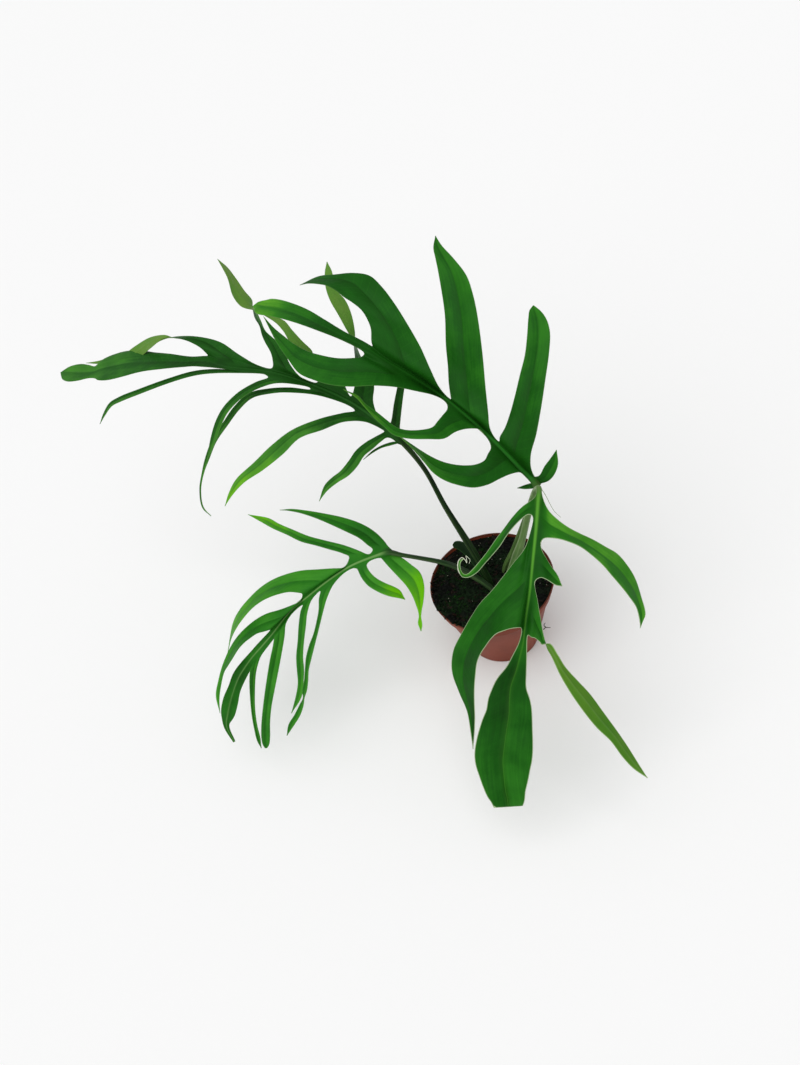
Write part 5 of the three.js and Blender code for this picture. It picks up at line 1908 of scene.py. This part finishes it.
    def _moss(self) -> Piece:
        """Models tufts of moss: short pointed leaves with three sides, spread from a common foot.

        Returns:
            The piece.
        """
        points, polygons, count = [], [], 0
        for place in self._places(self.tufts, 5 * self.gap):
            grows = noise.noise(Vector((place[0] / self.moss_size, place[1] / self.moss_size, 9.0)))
            if grows < -0.02 and place[0] > self.bare_from:
                continue
            for _ in range(self.moss_leaves):
                turn = self._random.uniform(0, 2 * np.pi)
                lean = self._random.uniform(*self.moss_lean)
                long = self._random.uniform(*self.moss_long)
                way = np.array([math.cos(turn) * lean, math.sin(turn) * lean, 1.0])
                way /= np.linalg.norm(way)
                side = np.cross(way, [0, 0, 1.0])
                side = side / np.linalg.norm(side) * self.moss_half
                third = np.cross(way, side)
                foot = place + np.array([*self._random.normal(0, 0.7, 2), -0.4])
                points.append(np.array([foot - side, foot + side, foot + third, foot + way * long]))
                polygons.append(np.array([[0, 2, 1], [0, 1, 3], [1, 2, 3], [2, 0, 3]]) + count)
                count += 4
        return self._mesh("moss_tufts", points, polygons)

    @staticmethod
    def _mesh(name: str, points: list[Array], polygons: list[Array]) -> Piece:
        """Makes one object of many small meshes.

        Args:
            name: Its name.
            points: The corners of each, in millimetres.
            polygons: The faces of each.

        Returns:
            The object.
        """
        mesh = bpy.data.meshes.new(name)
        mesh.from_pydata((np.vstack(points) * MM).tolist(), [], np.vstack(polygons).tolist())
        mesh.update()
        made = bpy.data.objects.new(name, mesh)
        bpy.context.collection.objects.link(made)
        begin_piece()
        made.select_set(True)
        bpy.context.view_layer.objects.active = made
        bpy.ops.object.mode_set(mode="EDIT")
        bpy.ops.mesh.select_all(action="SELECT")
        bpy.ops.mesh.normals_make_consistent(inside=False)
        bpy.ops.object.mode_set(mode="OBJECT")
        return made


@dataclass
class OldPetiole:
    """The cut petiole of an older leaf: a green strap with a gutter along it and a blunt, turned-down end."""

    sight: Sight
    columns: int = 12
    step: float = 1.5
    half_thickness: float = 0.9
    gutter: float = 0.32
    root_depth: float = 10.0

    def build(self) -> Piece:
        """Models the strap.

        Returns:
            Its object.
        """
        rows = np.array(OLD_PETIOLE)
        middle = self.sight.seen(*rows[:, :3].T)
        radius = rows[:, 3] * self.sight.unit_at(middle) / 2
        middle = np.vstack([middle[0] - [0, 0, self.root_depth], middle])
        radius = np.concatenate([radius[:1] * 0.8, radius])
        fine = curve_through(np.hstack([middle, radius[:, None]]), middle)
        run = run_of(fine[:, :3])
        at = np.linspace(0, run[-1], round(run[-1] / self.step) + 1)
        fine = sample(fine, run, at)
        middle, half = fine[:, :3], fine[:, 3]
        left = np.clip((run[-1] - at) / half, 0, 1)
        half = half * np.sqrt(np.maximum(1 - (1 - left) ** 2, 0.06))
        tangent = unit_vectors(np.gradient(middle, axis=0))
        sightline = unit_vectors(self.sight.eye - middle)
        side = unit_vectors(np.cross(tangent, sightline))
        top = np.cross(side, tangent)
        c = np.sin(np.linspace(-np.pi / 2, np.pi / 2, self.columns + 1))
        lift = self.gutter * half[:, None] * (np.abs(c) ** 1.6 - 0.5)
        across = c * half[:, None]
        points = middle[:, None] + across[..., None] * side[:, None] + lift[..., None] * top[:, None]
        whole = np.ones_like(lift)
        skin = self.half_thickness * np.sqrt(np.maximum(1 - c ** 2, 0.08)) * whole
        facts = np.stack(
            [skin, skin, 0 * whole, across, -at[:, None] * whole, *(0 * whole,) * 3, whole], axis=-1
        )
        sheet = Sheet()
        numbers = sheet.add_points(points, facts)
        up = np.cross(points[1, 0] - points[0, 0], points[0, 1] - points[0, 0]) @ top[0]
        sheet.add_faces(numbers, flip=up < 0)
        return sheet.finish("old_petiole_strap", 0)


THREADS = (
    ("curled_fibre", 0.3, ("#cfd6ba", "#f1f4e4"), (
        ((462, 576, 193), (458.8, 572, 196), (457.6, 566, 201), (458.6, 560.5, 205), (462, 557.6, 208),
         (465.2, 560, 208), (466.8, 563, 206), (466.3, 558, 209), (466, 555.8, 211), (468, 557.5, 210),
         (470, 559.6, 208), (469.3, 563.5, 205)),
    )),
    ("hanging_fibre", 0.26, ("#6f8150", "#98a674"), (
        ((541.5, 489, 258), (546, 496, 252), (550.5, 505, 246), (555, 512, 241), (561, 517.5, 237)),
    )),
    ("dark_sprig", 0.42, ("#10190a", "#24301a"), (
        ((543.5, 629.5, 176), (545.5, 627.6, 176), (550.5, 627.6, 176)),
        ((546, 627.6, 176), (544, 625.2, 177), (545.3, 622.8, 178)),
    )),
)


@dataclass
class DryThreads:
    """A dry fibre or sprig that clings to a leaf.

    Attributes:
        sight: The view that it is drawn from.
        name: Its piece's name.
        radius: Its radius at the thick end.
        lines: Its strands, as points of x, y and height on the sketch.
    """

    sight: Sight
    name: str
    radius: float
    lines: tuple[tuple[Row, ...], ...]

    def build(self) -> Piece:
        """Draws the strands as one round-sectioned curve and turns it into a mesh.

        Returns:
            Their object.
        """
        drawn = bpy.data.curves.new(self.name, "CURVE")
        drawn.dimensions = "3D"
        drawn.bevel_depth = self.radius * MM
        drawn.bevel_resolution = 2
        drawn.use_fill_caps = True
        for knots in self.lines:
            places = self.sight.seen(*np.array(knots, float).T)
            places = curve_through(places, places, 5) * MM
            spline = drawn.splines.new("POLY")
            spline.points.add(len(places) - 1)
            for number, place in enumerate(places):
                spline.points[number].co = (*place, 1.0)
                spline.points[number].radius = 1.0 - 0.5 * number / len(places)
        made = bpy.data.objects.new(self.name, drawn)
        bpy.context.collection.objects.link(made)
        begin_piece()
        made.select_set(True)
        bpy.context.view_layer.objects.active = made
        bpy.ops.object.convert(target="MESH")
        bpy.ops.object.shade_smooth()
        return bpy.context.active_object


@dataclass
class Studio:
    """A pale floor, soft light from above and the camera at the sketch's eye."""

    sight: Sight
    floor_white: str = "#f2f2f2"
    sun_strength: float = 1.75
    sun_softness: float = 75.0
    sun_from: tuple[float, float, float] = (-0.4, -0.45, 1.0)
    world_strength: float = 0.6

    def build(self) -> None:
        """Sets the floor, lights, world and camera."""
        self._camera()
        self._floor()
        self._lights()

    def _camera(self) -> None:
        """Puts the camera where the sketch is seen from."""
        right, up, ahead = self.sight.axes
        lens = bpy.data.cameras.new("camera")
        lens.sensor_width = 36.0
        lens.lens = self.sight.focal / max(self.sight.width, self.sight.height) * lens.sensor_width
        lens.clip_end = 50.0
        camera = bpy.data.objects.new("camera", lens)
        bpy.context.collection.objects.link(camera)
        turn = Matrix([right, up, -ahead]).transposed().to_4x4()
        camera.matrix_world = Matrix.Translation(Vector(self.sight.eye * MM)) @ turn
        bpy.context.scene.camera = camera

    def _floor(self) -> None:
        """Lays the floor."""
        begin_piece()
        bpy.ops.mesh.primitive_plane_add(size=30.0, location=(0, 0, -0.0004))
        floor = bpy.context.active_object
        floor.name = "floor"
        material, tree = start_material("pale_floor")
        white = linear(self.floor_white)
        finish_material(tree, {"Base Color": white, "Roughness": 0.9, "Specular IOR Level": 0.1})
        floor.data.materials.append(material)

    def _lights(self) -> None:
        """Hangs a very soft key light, and lights the rest from all round."""
        sun = bpy.data.lights.new("soft_key", "SUN")
        sun.energy, sun.angle = self.sun_strength, math.radians(self.sun_softness)
        holder = bpy.data.objects.new("soft_key", sun)
        bpy.context.collection.objects.link(holder)
        holder.matrix_world = Vector(self.sun_from).to_track_quat("Z", "Y").to_matrix().to_4x4()
        world = bpy.data.worlds.new("studio")
        world.use_nodes = True
        background = world.node_tree.nodes["Background"]
        background.inputs[0].default_value = (1, 1, 1, 1)
        background.inputs[1].default_value = self.world_strength
        bpy.context.scene.world = world
        bpy.context.scene.view_settings.view_transform = "Standard"


# The greens and stalk colour of each leaf are set leaf by leaf to how lit that leaf looks: painted light and
# shade over the leaves' own tones.
LEAVES = (
    ("leaf_far", FAR_LEAF, "far_leaf", 1, LivingLeaf(
        "far_leaf", ("#0d3207", "#1b5313", "#3f8026", "#62a61c"), "#5f8434", "#2f6429", "#0b1f08",
        ("#76945a", 0.2),
    )),
    ("leaf_upper", UPPER_LEAF, "upper_leaf", 2, LivingLeaf(
        "upper_leaf", ("#0f3c07", "#16520f", "#2c7418", "#5fa428"), "#6a8c4c", "#246a1d", "#4a6632",
        ("#76945a", 0.2),
    )),
    ("leaf_front", FRONT_LEAF, "front_leaf", 3, LivingLeaf(
        "front_leaf", ("#092c05", "#104b08", "#256b15", "#4e9426"), "#527c24", "#50902a", "#5f7d47",
        ("#b4c69c", 0.7), rib_reach=130.0, midvein_crease_shade=0.1, painted_half_shade=0.24, painted_shade_reach=22.0,
        vein_show=0.05, vein_relief=0.07,
    )),
    ("leaf_left", LEFT_LEAF, "left_leaf", 4, LivingLeaf(
        "left_leaf", ("#12480a", "#226a16", "#3e8a22", "#64b407"), "#40702a", "#6f9c56", "#1f301c",
        ("#7c9c60", 0.22), rib_reach=300.0,
    )),
)


def main() -> None:
    """Builds the plant and its studio."""
    logging.basicConfig(level=logging.INFO, format="%(message)s")
    low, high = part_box("pot")
    sight = Sight(rim_diameter=(high.x - low.x) / MM, rim_height=high.z / MM)
    Studio(sight).build()
    pot = NurseryPot(rim_radius=sight.rim_diameter / 2, height=sight.rim_height)
    pot.build()
    PottingSoil(pot).build()
    for name, plan, slot, seed, finish in LEAVES:
        dress(Frond(name + "_living", plan, sight, seed).build(), finish.make(), slot, name)
    strap = LivingLeaf(
        "old_petiole", ("#071707", "#0d240a", "#163a10", "#22561a"), "#0d240a", "#163a10", "#0c230b",
        ("#3c6a34", 0.8),
    )
    dress(OldPetiole(sight).build(), strap.make(), "old_petiole", "old_petiole")
    for name, radius, (dark, pale), lines in THREADS:
        fibre = DampLitter(name, dark, pale, roughness=(0.6, 0.8))
        dress(DryThreads(sight, name, radius, lines).build(), fibre.make(), "front_leaf")


if __name__ == "__main__":
    main()
